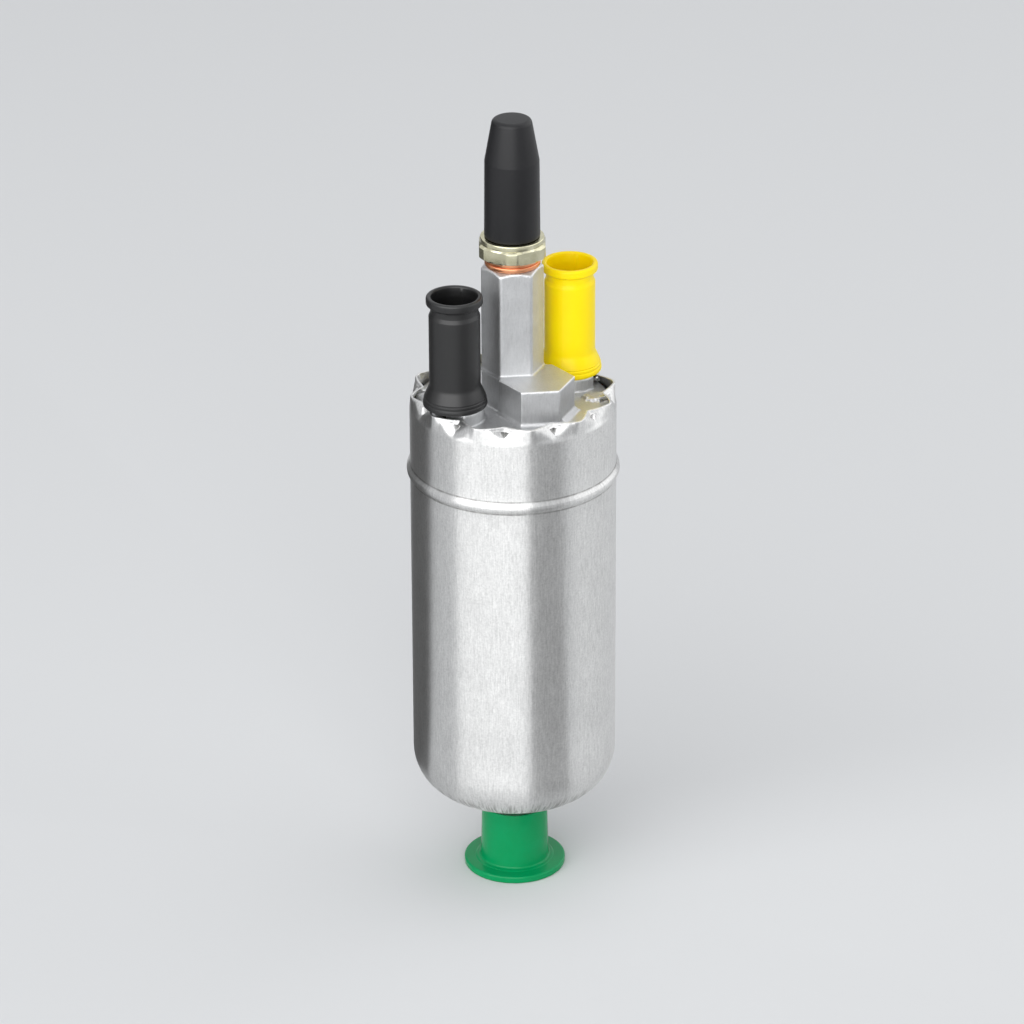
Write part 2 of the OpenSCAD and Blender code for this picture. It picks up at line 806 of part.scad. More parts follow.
// Copper: one bundle through each slot and a rounded head at each end of the core
module windings() {
    bundle_r = slot_d / 2 - 0.15;
    bundle_end = 1;
    head_in_r = shaft_r + 1.6;
    head_out_r = slot_pitch_r + bundle_r + 0.4;
    color("chocolate") {
        for (i = [0:slot_count - 1]) rotate(i * 360 / slot_count)
            translate([slot_pitch_r, 0, core_z - bundle_end])
                cylinder(r = bundle_r, h = core_h + 2 * bundle_end);
        winding_head(core_z - head_h + 0.5, head_in_r, head_out_r);
        winding_head(core_top_z + 0.1, head_in_r, head_out_r);
    }
}

module winding_head(z, in_r, out_r) {
    h = head_h - 0.6;
    edge = 2;
    turned([
        [in_r, z + edge / 2], [in_r + edge / 2, z], [out_r - edge, z], [out_r, z + edge],
        [out_r, z + h - edge], [out_r - edge, z + h], [in_r + edge / 2, z + h], [in_r, z + h - edge / 2]
    ]);
}

module commutator_hub() {
    color("saddlebrown") {
        ring(comm_d / 2, shoulder_r + snug, hub_z, hub_plate_t);
        ring(shoulder_r + hub_wall, shoulder_r + snug, hub_z + hub_plate_t - cut, bar_t + cut);
    }
}

module commutator_bars() {
    insulation = 3;
    sweep = 360 / slot_count - insulation;
    color("peru")
        for (i = [0:slot_count - 1])
            arc_bar(comm_d / 2, shoulder_r + hub_wall + 0.5, hub_z + hub_plate_t + snug, bar_t - snug,
                i * 360 / slot_count + insulation / 2, sweep);
}

module thrust_washer() {
    color("tan") ring(bush_r, shaft_r + snug, thrust_z, thrust_t);
}

module upper_bush() {
    color("peru") ring(bush_r, bush_bore_r, upper_boss_z, upper_boss_h);
}

// Brush gear

// Plastic deck on the flux ring, with a square tube for each brush
module brush_deck() {
    deck_hole_r = bush_r + 3;
    vent_r = 3;
    color("ivory")
        difference() {
            union() {
                translate([0, 0, deck_z]) cylinder(r = fit_r, h = deck_t);
                ring(fit_r, flux_in_r, flux_top_z, deck_skirt_h + cut);
                for (side = [-1, 1])
                    translate([0, side * brush_r, (deck_z + tube_top_z) / 2])
                        cube([brush_l + 2 * (brush_gap + tube_wall), brush_w + 2 * (brush_gap + tube_wall),
                            tube_top_z - deck_z], center = true);
            }
            translate([0, 0, deck_z - cut]) cylinder(r = deck_hole_r, h = tube_top_z - deck_z + 2 * cut);
            for (side = [-1, 1])
                translate([0, side * brush_r, (deck_z + tube_top_z) / 2])
                    cube([brush_l + 2 * brush_gap, brush_w + 2 * brush_gap,
                        tube_top_z - deck_z + 2 * cut], center = true);
            for (side = [0, 180]) rotate(side) translate([brush_r + vent_r, 0, deck_z - cut])
                cylinder(r = vent_r, h = deck_t + 2 * cut);
        }
}

module brush(side) {
    color("dimgray")
        translate([0, side * brush_r, brush_z + brush_h / 2])
            cube([brush_l, brush_w, brush_h], center = true);
}

module brush_spring(side) {
    color("silver") translate([0, side * brush_r, brush_top_z + 0.05])
        coil_spring(brush_spring_r, brush_wire_r, cover_under_z - brush_top_z - 0.1, 5);
}

// Brass strips from the terminal studs round to the brush tubes
module contact_strips() {
    strip_w = 3.4;
    eye_r = 4.4;
    tube_half = brush_l / 2 + brush_gap + tube_wall;
    strip_end_r = terminal_r - 2.7;
    tab_x = tube_half + stud_gap;
    tab_w = 4;
    tab_h = 3.5;
    strip_z = strip_top_z - strip_t;
    color("gold")
        for (side = [0, 1])
            rotate(180 * side) difference() {
                union() {
                    arc_bar(strip_end_r + strip_w / 2, strip_end_r - strip_w / 2, strip_z, strip_t, 0, 90);
                    translate([terminal_r, 0, strip_z]) cylinder(r = eye_r, h = strip_t);
                    translate([tab_x, strip_end_r - tab_w, strip_z - tab_h])
                        cube([strip_t, tab_w, tab_h + strip_t]);
                }
                translate([tab_x - strip_end_r, strip_end_r - strip_w, strip_z - cut])
                    cube([strip_end_r, 2 * strip_w, strip_t + 2 * cut]);
                translate([terminal_r, 0, strip_z - cut])
                    cylinder(r = (side == 0 ? stud_a_r : stud_b_r) + stud_gap, h = strip_t + 2 * cut);
            }
}

// Cover

// Cast cover: disc, skirt, bearing boss, outlet post, low hexagon and the two terminal bosses
module end_cover() {
    turned_off = 0.2;
    post_round_r = post_af / sqrt(3) - turned_off;
    block_round_r = block_af / sqrt(3) - turned_off;
    block_chamfer = 0.4;
    edge = 0.8;
    color("darkgray")
        difference() {
            union() {
                turned([
                    [0, cover_under_z], [fit_r, cover_under_z], [fit_r, cover_z - edge],
                    [fit_r - edge, cover_z], [0, cover_z]
                ]);
                ring(fit_r, fit_r - skirt_wall, deck_top_z, skirt_h + cut);
                translate([0, 0, upper_boss_z]) cylinder(r = upper_boss_r, h = upper_boss_h + cut);
                translate([0, 0, cover_z - cut])
                    rounded_hex(post_af, post_round_r, post_h + cut, post_chamfer);
                translate([0, -block_off, cover_z - cut])
                    rounded_hex(block_af, block_round_r, block_h + cut, block_chamfer);
                intersection() {
                    for (side = [-1, 1]) translate([side * terminal_r, 0, cover_z - cut])
                        cylinder(r = boss_d / 2, h = boss_h + cut);
                    translate([0, 0, cover_z - 2 * cut]) cylinder(r = boss_limit_r, h = boss_h + 3 * cut);
                }
            }
            translate([0, 0, gallery_z]) cylinder(r = feed_pitch_r + feed_r + slip, h = gallery_h);
            translate([0, 0, gallery_z]) cylinder(r = post_bore_r, h = post_top_z - gallery_z + cut);
            translate([0, 0, post_top_z - thread_depth])
                cylinder(r = outlet_thread_r, h = thread_depth + cut);
            translate([0, 0, upper_boss_z - cut]) cylinder(r = bush_r + snug, h = upper_boss_h + cut);
            for (i = [0:3]) rotate(45 + 90 * i) translate([feed_pitch_r, 0, upper_boss_z - cut])
                cylinder(r = feed_r, h = gallery_z - upper_boss_z + 2 * cut);
            for (side = [-1, 1]) translate([side * terminal_r, 0, cover_under_z - cut])
                cylinder(r = (side > 0 ? stud_a_r : stud_b_r) + sleeve_wall + stud_gap,
                    h = cover_t + boss_h + 2 * cut);
            o_groove(cover_groove_z);
        }
}

// Hexagon with turned corners and a turned chamfer at its top
module rounded_hex(af, round_r, h, chamfer) {
    chamfer_r = af / 2 - chamfer / 2;
    intersection() {
        hex_bar(af, h);
        turned([
            [0, 0], [round_r, 0], [round_r, h - (round_r - chamfer_r) * 0.6], [chamfer_r, h], [0, h]
        ]);
    }
}

module cover_seal() {
    color("black") o_ring(cover_groove_z);
}

// Terminals, the larger one at +X

module terminal_stud(side, r) {
    chamfer = 0.5;
    shank_r = r * thread_root;
    head_z = strip_top_z - strip_t - stud_head_h;
    color("khaki") translate([side * terminal_r, 0, 0])
        turned([
            [0, head_z], [stud_head_r, head_z], [stud_head_r, head_z + stud_head_h],
            [shank_r, head_z + stud_head_h], [shank_r, nut_top_z + seat_gap], [r, nut_top_z + seat_gap],
            [r, stud_top_z - chamfer], [r - chamfer, stud_top_z], [0, stud_top_z]
        ]);
}

// Insulating bushes: a sleeve through the cover and a flange that the boot grips
module terminal_bushes() {
    color("darkred")
        for (side = [-1, 1]) translate([side * terminal_r, 0, 0]) {
            r = side > 0 ? stud_a_r : stud_b_r;
            difference() {
                union() {
                    translate([0, 0, cover_under_z + stud_gap])
                        cylinder(r = r + sleeve_wall, h = boss_top_z - cover_under_z);
                    translate([0, 0, boss_top_z]) cylinder(r = bush_flange_d / 2, h = bush_flange_h);
                }
                translate([0, 0, cover_under_z - cut])
                    cylinder(r = r + stud_gap, h = bush_top_z - cover_under_z + 2 * cut);
            }
        }
}

module insulating_washers() {
    color("darkred")
        for (side = [-1, 1]) translate([side * terminal_r, 0, 0])
            ring(stud_head_r, (side > 0 ? stud_a_r : stud_b_r) + stud_gap, strip_top_z, lower_washer_t);
}

module terminal_washers() {
    color("khaki")
        for (side = [-1, 1]) translate([side * terminal_r, 0, 0]) {
            r = side > 0 ? stud_a_r : stud_b_r;
            ring(r + washer_plate_w, r + stud_gap, bush_top_z, washer_plate_t);
        }
}

module terminal_nuts() {
    color("khaki")
        for (side = [-1, 1]) translate([side * terminal_r, 0, bush_top_z + washer_plate_t]) {
            r = side > 0 ? stud_a_r : stud_b_r;
            difference() {
                rounded_hex(3.3 * r, 1.86 * r, nut_h, 0.5);
                translate([0, 0, -cut]) cylinder(r = r * thread_root + snug, h = nut_h + 2 * cut);
            }
        }
}

// Boots: open tubes with a bell at the foot, a groove under the top lip and a shoulder below it
module boot(side, shade) {
    bell_h = 3;
    flare_h = 3.4;
    bore_r = boot_r - boot_wall;
    bell_bore_r = bell_r - boot_wall - 0.2;
    neck_r = boot_r - 0.5;
    top_z = boot_z + boot_h;
    lip_bore_r = bore_r + 0.2;
    color(shade) translate([side * terminal_r, 0, 0])
        turned([
            [bell_bore_r, boot_z], [bell_r - 0.3, boot_z], [bell_r, boot_z + 0.8],
            [bell_r - 0.1, boot_z + bell_h * 0.6], [bell_r - 0.6, boot_z + bell_h],
            [boot_r + 0.3, boot_z + bell_h + flare_h * 0.5], [boot_r, boot_z + bell_h + flare_h],
            [boot_r, top_z - 6.4], [boot_r - 0.2, top_z - 5.7], [neck_r, top_z - 4.6], [neck_r, top_z - 3.4],
            [lip_r - 0.3, top_z - 2.2], [lip_r, top_z - 1.4], [lip_r - 0.35, top_z - 0.5],
            [lip_bore_r + 0.6, top_z], [lip_bore_r, top_z - 0.4],
            [bore_r, top_z - 3], [bore_r, boot_z + bell_h + flare_h], [bell_bore_r, boot_z + bell_h - 0.6]
        ]);
}

// Outlet

// Folded copper ring: two layers with a rounded edge each
module copper_washer() {
    bore_r = outlet_thread_r + 0.15;
    out_r = washer_d / 2;
    half = washer_t / 2;
    color("orangered")
        translate([0, 0, washer_z])
            turned([
                [bore_r, 0], [out_r - 0.5, 0], [out_r, 0.5], [out_r, half - 0.35], [out_r - 0.35, half],
                [out_r, half + 0.35], [out_r, washer_t - 0.5], [out_r - 0.5, washer_t], [bore_r, washer_t]
            ]);
}

// Check valve: lower stud in the post, hexagon, collar, grip for the cap and outlet stud
module valve_body() {
    chamfer = 1;
    corner_r = valve_af / 2 + 0.7;
    hex_angle = 23;
    collar_r = valve_collar_d / 2;
    stud_r = outlet_thread_r - 0.1;
    color("darkkhaki")
        difference() {
            union() {
                translate([0, 0, post_top_z - thread_depth + 1])
                    cylinder(r = stud_r, h = valve_z - post_top_z + thread_depth);
                translate([0, 0, valve_z]) intersection() {
                    rotate(hex_angle) hex_bar(valve_af, valve_hex_h);
                    turned([
                        [0, 0], [corner_r - 0.6, 0], [corner_r, 0.5], [corner_r, valve_hex_h - 0.4],
                        [corner_r - 0.7, valve_hex_h], [0, valve_hex_h]
                    ]);
                }
                turned([
                    [0, collar_z - cut], [collar_r, collar_z - cut],
                    [collar_r, tip_z - 0.5], [collar_r - 0.5, tip_z],
                    [valve_grip_r, tip_z], [valve_grip_r, tip_z + valve_grip_h],
                    [outlet_thread_r, tip_z + valve_grip_h + 0.6], [outlet_thread_r, outlet_top_z - chamfer],
                    [outlet_thread_r - chamfer, outlet_top_z], [0, outlet_top_z]
                ]);
            }
            translate([0, 0, post_top_z - thread_depth])
                cylinder(r = valve_bore_d / 2, h = seat_z - post_top_z + thread_depth);
            turned([
                [0, seat_z - 0.01], [valve_bore_d / 2, seat_z - 0.01], [valve_bore_d / 2, seat_z],
                [valve_bore_d / 2 + seat_cone_h, chamber_z], [0, chamber_z]
            ]);
            translate([0, 0, chamber_z - 0.01]) cylinder(r = chamber_bore_r, h = stop_z - chamber_z + 0.02);
            translate([0, 0, stop_z]) cylinder(r = stop_r + snug, h = outlet_top_z - stop_z + cut);
        }
}

// Mushroom poppet that closes downwards on the cone of the seat
module valve_poppet() {
    stem_r = 1.3;
    stem_h = 8;
    seat_r = valve_bore_d / 2 - 0.15;
    color("whitesmoke")
        turned([
            [0, poppet_z - 0.2], [seat_r - 0.4, poppet_z - 0.2], [seat_r, poppet_z + 0.1],
            [poppet_r, poppet_z + 0.1 + poppet_r - seat_r], [poppet_r, poppet_top_z],
            [stem_r, poppet_top_z], [stem_r, poppet_top_z + stem_h], [0, poppet_top_z + stem_h]
        ]);
}

module valve_spring() {
    color("silver") translate([0, 0, poppet_top_z + 0.05])
        coil_spring(valve_spring_r, valve_wire_r, stop_z - poppet_top_z - 0.1, 7);
}

module valve_stop() {
    bore_r = 1.6;
    color("khaki") ring(stop_r, bore_r, stop_z, stop_t);
}

// Black cap over the outlet stud: a tube that ends in a cone with a rounded flat top
module outlet_cap() {
    bottom_z = tip_z + seat_gap;
    cone_z = tip_top_z - tip_cone_h;
    bottom_r = tip_d / 2;
    waist_r = bottom_r - 0.2;
    top_r = tip_top_d / 2;
    bore_r = bottom_r - tip_wall;
    inner_top_z = tip_top_z - 2.2;
    round = 0.9;
    color("black")
        turned([
            [bore_r, bottom_z], [bottom_r - 0.2, bottom_z], [bottom_r, bottom_z + 0.3], [waist_r, cone_z],
            [top_r + 0.15, tip_top_z - round], [top_r - round * 0.3, tip_top_z - round * 0.3],
            [top_r - round, tip_top_z], [0, tip_top_z], [0, inner_top_z],
            [top_r - tip_wall, inner_top_z], [bore_r, cone_z], [bore_r, bottom_z + 1]
        ]);
}

can();
inlet_fitting();
inlet_gasket();
inlet_strainer();
inlet_cap();
intake_housing();
housing_seal();
cam_ring();
discharge_plate();
plate_screws();
pump_rotor();
roller(1);  // roller_1
roller(2);  // roller_2
roller(3);  // roller_3
roller(4);  // roller_4
roller(5);  // roller_5
relief_ball();
relief_spring();
lower_bush();
flux_ring();
magnets();
magnet_clips();
shaft();
armature_core();
windings();
commutator_hub();
commutator_bars();
thrust_washer();
upper_bush();
brush_deck();
brush(-1);  // brush_left
brush(1);  // brush_right
brush_spring(-1);  // brush_spring_left
brush_spring(1);  // brush_spring_right
contact_strips();
end_cover();
cover_seal();
terminal_stud(1, stud_a_r);  // terminal_stud_a
terminal_stud(-1, stud_b_r);  // terminal_stud_b
terminal_bushes();
insulating_washers();
terminal_washers();
terminal_nuts();
boot(1, "yellow");  // boot_yellow
boot(-1, "black");  // boot_black
copper_washer();
valve_body();
valve_poppet();
valve_spring();
valve_stop();
outlet_cap();
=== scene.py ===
"""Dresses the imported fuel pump: meshes and finishes for every piece, a plain studio and the camera.

Outlines and pieces are in millimetres and are scaled to metres as their meshes are made. The effects, the
finishes and the studio are in metres, as Blender is. Angles in fields are degrees.
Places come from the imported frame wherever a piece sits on, or stands for, a node of it.
"""

import json
import logging
import math
from collections.abc import Callable, Sequence
from dataclasses import dataclass, field
from enum import Enum
from typing import ClassVar

import bmesh
import bpy
import numpy as np
from mathutils import Matrix, Vector, noise


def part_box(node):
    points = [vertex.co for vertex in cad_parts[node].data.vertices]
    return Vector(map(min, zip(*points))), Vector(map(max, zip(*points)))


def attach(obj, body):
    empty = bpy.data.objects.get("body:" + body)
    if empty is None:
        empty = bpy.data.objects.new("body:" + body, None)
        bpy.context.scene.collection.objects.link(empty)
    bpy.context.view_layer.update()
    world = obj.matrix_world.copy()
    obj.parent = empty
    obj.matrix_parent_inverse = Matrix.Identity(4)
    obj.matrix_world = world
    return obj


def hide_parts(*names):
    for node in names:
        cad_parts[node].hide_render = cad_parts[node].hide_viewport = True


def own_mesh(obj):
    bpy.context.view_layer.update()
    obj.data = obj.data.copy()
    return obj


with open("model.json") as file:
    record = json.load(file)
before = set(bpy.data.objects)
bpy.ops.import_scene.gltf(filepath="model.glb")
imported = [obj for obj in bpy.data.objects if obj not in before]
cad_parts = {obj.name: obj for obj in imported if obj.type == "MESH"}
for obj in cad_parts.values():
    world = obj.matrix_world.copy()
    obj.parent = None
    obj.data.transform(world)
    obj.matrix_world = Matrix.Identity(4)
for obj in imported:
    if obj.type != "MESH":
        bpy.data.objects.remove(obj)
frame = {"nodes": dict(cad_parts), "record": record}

LOG = logging.getLogger("fuel_pump")
MM = 0.001
TOUCH = 1e-3           # how near counts as touching
ARC_STEP = 0.16        # length of a step along a rounded corner
ARC_STEPS_MIN = 3
SHARED_SIDE = 0.5      # share of a side that a round may use where the next corner is rounded too
WHOLE_SIDE = 0.98      # the same share where it isn't
CREASE = 50.0          # angle in degrees above which an edge stays sharp
THREAD_CREASE = 30.0

Colour = tuple[float, float, float]
Point = tuple[float, float]
Socket = bpy.types.NodeSocket
Moved = tuple[np.ndarray, np.ndarray]
Bend = Callable[[np.ndarray, np.ndarray, np.ndarray], Moved]


# Outlines and meshes

@dataclass(frozen=True)
class Corner:
    """One corner of an outline: its radius and height, and the radius of the round that blends it."""

    r: float
    z: float
    blend: float = 0.0


def stack(base: float, *rows: tuple[float, ...]) -> list[Corner]:
    """Makes corners from rows of a radius, a height over the base and, on a rounded corner, its blend."""
    return [Corner(r, base + height, *blend) for r, height, *blend in rows]


def rounded(corners: Sequence[Corner], closed: bool, steps: int) -> list[Point]:
    """Turns an outline's corners into points, with an arc at each corner that has a blend.

    Args:
        corners: The outline's corners in order.
        closed: Whether the last corner joins the first one.
        steps: The most steps that an arc gets; a short arc gets fewer.

    Returns:
        The outline as (radius, height) points.
    """
    points: list[Point] = []
    count = len(corners)
    for index, corner in enumerate(corners):
        inner = closed or 0 < index < count - 1
        if not inner or corner.blend <= 0:
            points.append((corner.r, corner.z))
            continue
        here = Vector((corner.r, corner.z))
        before, after = corners[index - 1], corners[(index + 1) % count]
        back, ahead = Vector((before.r, before.z)) - here, Vector((after.r, after.z)) - here
        half = back.angle(ahead) / 2
        room = [side.length * (SHARED_SIDE if other.blend > 0 else WHOLE_SIDE)
                for side, other in ((back, before), (ahead, after))]
        reach = min(corner.blend / math.tan(half), *room)
        inward = (back.normalized() + ahead.normalized()).normalized()
        middle = here + inward * reach / math.cos(half)
        radius, sweep = reach * math.tan(half), math.pi / 2 - half
        across = Vector((-inward.y, inward.x))
        way = math.copysign(1, across.dot(back))
        parts = min(steps, max(ARC_STEPS_MIN, math.ceil(2 * sweep * radius / ARC_STEP)))
        for step in range(parts + 1):
            turn = way * sweep * (1 - 2 * step / parts)
            point = middle + (across * math.sin(turn) - inward * math.cos(turn)) * radius
            points.append((point.x, point.y))
    return points


def sides(points: Sequence[Point], closed: bool) -> list[tuple[Point, Point]]:
    """Lists an outline's sides as pairs of points."""
    return list(zip(points, list(points[1:]) + ([points[0]] if closed else [])))


def finer(points: Sequence[Point], longest: float, closed: bool) -> list[Point]:
    """Splits an outline's long sides, so that a bend or a thread has points to act on.

    Args:
        points: The outline.
        longest: The longest side that stays whole.
        closed: Whether the last point joins the first one.

    Returns:
        The outline with added points.
    """
    result: list[Point] = []
    for (r0, z0), (r1, z1) in sides(points, closed):
        parts = max(1, math.ceil(math.hypot(r1 - r0, z1 - z0) / longest))
        result += [(r0 + (r1 - r0) * k / parts, z0 + (z1 - z0) * k / parts) for k in range(parts)]
    return result if closed else result + [points[-1]]


def add_object(name: str, data: bpy.types.ID) -> bpy.types.Object:
    """Makes an object from its data and links it to the scene."""
    made = bpy.data.objects.new(name, data)
    bpy.context.scene.collection.objects.link(made)
    return made


def mesh_object(name: str, vertices: Sequence[Sequence[float]], faces: Sequence[Sequence[int]],
                crease: float = CREASE) -> bpy.types.Object:
    """Makes an object from vertices in millimetres, smooth but for edges sharper than the crease.

    Args:
        name: The piece's name.
        vertices: Points in millimetres.
        faces: Vertex indices of each face.
        crease: Angle in degrees above which an edge stays sharp.

    Returns:
        The new object, linked to the scene.
    """
    mesh = bpy.data.meshes.new(name)
    mesh.from_pydata((np.asarray(vertices, float) * MM).tolist(), [], [list(f) for f in faces])
    mesh.validate()
    mesh.shade_smooth()
    mesh.set_sharp_from_angle(angle=math.radians(crease))
    return add_object(name, mesh)


def lathe(name: str, points: Sequence[Point], closed: bool, segments: int = 192, centre: Point = (0.0, 0.0),
          bend: Bend | None = None, crease: float = CREASE,
          angles: np.ndarray | None = None) -> bpy.types.Object:
    """Turns an outline round a vertical axis.

    Args:
        name: The piece's name.
        points: The outline, walked with the solid on its left.
        closed: True for a ring. Otherwise the outline starts and ends on the axis.
        segments: Divisions round the axis.
        centre: Where the axis stands.
        bend: Moves radii and heights by angle, for folds and threads.
        crease: Angle in degrees above which an edge stays sharp.
        angles: Where the divisions lie, if they aren't even.

    Returns:
        The turned piece.
    """
    body = list(points) if closed else list(points[1:-1])
    if angles is None:
        angles = np.linspace(0, math.tau, segments, endpoint=False)
    segments, rows = len(angles), len(body)
    angle = np.repeat(angles[:, None], rows, axis=1)
    r, z = (np.tile([point[k] for point in body], (segments, 1)) for k in (0, 1))
    if bend:
        r, z = bend(angle, r, z)
    x, y = r * np.cos(angle) + centre[0], r * np.sin(angle) + centre[1]
    vertices = np.stack([x, y, z], axis=-1).reshape(-1, 3).tolist()
    faces: list[Sequence[int]] = []
    for a in range(segments):
        b = (a + 1) % segments
        for k in range(rows if closed else rows - 1):
            n = (k + 1) % rows
            faces.append((a * rows + k, b * rows + k, b * rows + n, a * rows + n))
    if not closed:
        first, last = len(vertices), len(vertices) + 1
        vertices += [[*centre, points[0][1]], [*centre, points[-1][1]]]
        for a in range(segments):
            b = (a + 1) % segments
            faces.append((first, b * rows, a * rows))
            faces.append((last, a * rows + rows - 1, b * rows + rows - 1))
    return mesh_object(name, vertices, faces, crease)


def smooth_step(t: np.ndarray) -> np.ndarray:
    """Ramps from 0 to 1 with a level start and end."""
    t = np.clip(t, 0, 1)
    return t * t * (3 - 2 * t)


@dataclass(frozen=True)
class Thread:
    """A metric thread, rolled on to the outside of a turned piece."""

    major_r: float
    pitch: float
    low_z: float
    high_z: float
    depth_share: float = 0.61
    flank: float = 1.3
    crest: float = 0.15
    rows: int = 9
    plain_side: float = 6.0

    def bend(self, angle: np.ndarray, r: np.ndarray, z: np.ndarray) -> Moved:
        """Cuts the groove where the outline runs at the thread's major radius.

        Args:
            angle: Angle of each point.
            r: Its radius.
            z: Its height.

        Returns:
            The radii with the groove, and the same heights.
        """
        turn = (z / self.pitch - angle / math.tau) % 1.0
        groove = np.clip((1 - np.abs(2 * turn - 1)) * self.flank - self.crest, 0, 1)
        runout = smooth_step((z - self.low_z) / self.pitch) * smooth_step((self.high_z - z) / self.pitch)
        outer = np.abs(r - self.major_r) < TOUCH
        return r - np.where(outer, groove * runout * self.depth_share * self.pitch, 0), z

    def split(self, points: Sequence[Point], closed: bool) -> list[Point]:
        """Splits the sides that the thread runs on finely enough for its flanks.

        Args:
            points: The outline.
            closed: Whether the last point joins the first one.

        Returns:
            The outline with added points.
        """
        result: list[Point] = []
        for here, after in sides(points, closed):
            threaded = max(abs(here[0] - self.major_r), abs(after[0] - self.major_r)) < TOUCH
            longest = self.pitch / self.rows if threaded else self.plain_side
            result += finer([here, after], longest, closed=False)[:-1]
        return result if closed else result + [points[-1]]


@dataclass(frozen=True)
class Room:
    """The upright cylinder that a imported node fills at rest: its axis, radius and heights."""

    centre: Point
    r: float
    foot: float
    top: float

    @classmethod
    def of(cls, node: str) -> "Room":
        """Measures the node's box."""
        low, high = (Vector(corner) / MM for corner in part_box(node))
        return cls(((low.x + high.x) / 2, (low.y + high.y) / 2), (high.x - low.x) / 2, low.z, high.z)


# Shader effects shared by several finishes

class Effect(Enum):
    """The shared node groups, each by the name of the method that builds it."""

    GRAIN = "straight_grain"
    TURNING = "turning_marks"
    SPECKLE = "fine_speckle"
    WEAR = "edge_wear"
    # painted shade in concave creases and pits
    CREVICE = "painted_crevice_shade"
    MOTTLE = "slow_mottle"


class Wiring:
    """Adds and joins nodes in one node tree."""

    def __init__(self, tree: bpy.types.NodeTree) -> None:
        """Keeps the tree that the nodes go into."""
        self.tree = tree

    def node(self, kind: str, settings: dict[str, object] | None = None, **inputs: object) -> bpy.types.Node:
        """Adds a node, sets its settings, and fills or joins its inputs.

        Args:
            kind: Blender's name of the node type.
            settings: Attributes of the node itself.
            inputs: Input values or output sockets, by input name with underscores for spaces.

        Returns:
            The new node.
        """
        node = self.tree.nodes.new(kind)
        for key, value in (settings or {}).items():
            setattr(node, key, value)
        self.set(node, **inputs)
        return node

    def set(self, node: bpy.types.Node, **inputs: object) -> None:
        """Fills or joins a node's inputs, by input name with underscores for spaces."""
        for key, value in inputs.items():
            self.fill(node.inputs[key.replace("_", " ")], value)

    def fill(self, socket: Socket, value: object) -> None:
        """Joins an output socket to an input, or sets the input's own value."""
        if isinstance(value, Socket):
            self.tree.links.new(value, socket)
        else:
            socket.default_value = value

    def maths(self, operation: str, *values: object) -> Socket:
        """Adds a maths node and returns its value."""
        node = self.node("ShaderNodeMath", {"operation": operation})
        for socket, value in zip(node.inputs, values):
            self.fill(socket, value)
        return node.outputs[0]

    def total(self, *parts: tuple[Socket, float]) -> Socket:
        """Adds up masks, each times its weight, and returns the sum."""
        value = self.maths("MULTIPLY", *parts[0])
        for mask, weight in parts[1:]:
            value = self.maths("MULTIPLY_ADD", mask, weight, value)
        return value

    def spread(self, value: Socket, low: float, high: float, start: float = 0.0, end: float = 1.0) -> Socket:
        """Maps a mask from start..end to low..high, held inside that range."""
        return self.node("ShaderNodeMapRange", {"clamp": True}, Value=value, From_Min=start, From_Max=end,
                         To_Min=low, To_Max=high).outputs["Result"]

    def blend(self, mask: Socket, first: object, second: object) -> Socket:
        """Mixes two colours by a mask and returns the colour."""
        node = self.node("ShaderNodeMix", {"data_type": "RGBA"})
        values = [(*value, 1.0) if isinstance(value, tuple) else value for value in (first, second)]
        for socket, value in zip((node.inputs[0], node.inputs[6], node.inputs[7]), (mask, *values)):
            self.fill(socket, value)
        return node.outputs[2]

    def place(self) -> Socket:
        """Returns the point in the object's own space."""
        return self.node("ShaderNodeTexCoord").outputs["Object"]

    def axes(self) -> Sequence[Socket]:
        """Returns the point's X, Y and Z in the object's own space."""
        return tuple(self.node("ShaderNodeSeparateXYZ", Vector=self.place()).outputs)

    def radius(self, x: Socket, y: Socket) -> Socket:
        """Returns the distance from the vertical axis."""
        return self.maths("SQRT", self.maths("ADD", self.maths("MULTIPLY", x, x), self.maths("MULTIPLY", y, y)))

    def scaled(self, x: object, y: object, z: object) -> Socket:
        """Returns the vector that three values make."""
        return self.node("ShaderNodeCombineXYZ", X=x, Y=y, Z=z).outputs[0]

    def cloud(self, place: Socket, scale: object, detail: object, roughness: float = 0.5,
              distortion: float = 0.0) -> Socket:
        """Adds a noise texture and returns its value."""
        return self.node("ShaderNodeTexNoise", Vector=place, Scale=scale, Detail=detail, Roughness=roughness,
                         Distortion=distortion).outputs[0]

    def effect(self, effect: Effect, **values: object) -> Socket:
        """Places a shared effect with the values that are given and returns its mask."""
        return self.node("ShaderNodeGroup", {"node_tree": EFFECTS.get(effect)}, **values).outputs["Mask"]


def new_material(name: str, **inputs: object) -> tuple[bpy.types.Material, Wiring, bpy.types.Node]:
    """Makes a material with one surface.

    Args:
        name: The material's name.
        inputs: The surface's values, by input name with underscores for spaces.

    Returns:
        The material, its wiring and its surface.
    """
    made = bpy.data.materials.new(name)
    made.use_nodes = True
    made.node_tree.nodes.clear()
    wiring = Wiring(made.node_tree)
    surface = wiring.node("ShaderNodeBsdfPrincipled", **inputs)
    wiring.node("ShaderNodeOutputMaterial", Surface=surface.outputs[0])
    return made, wiring, surface


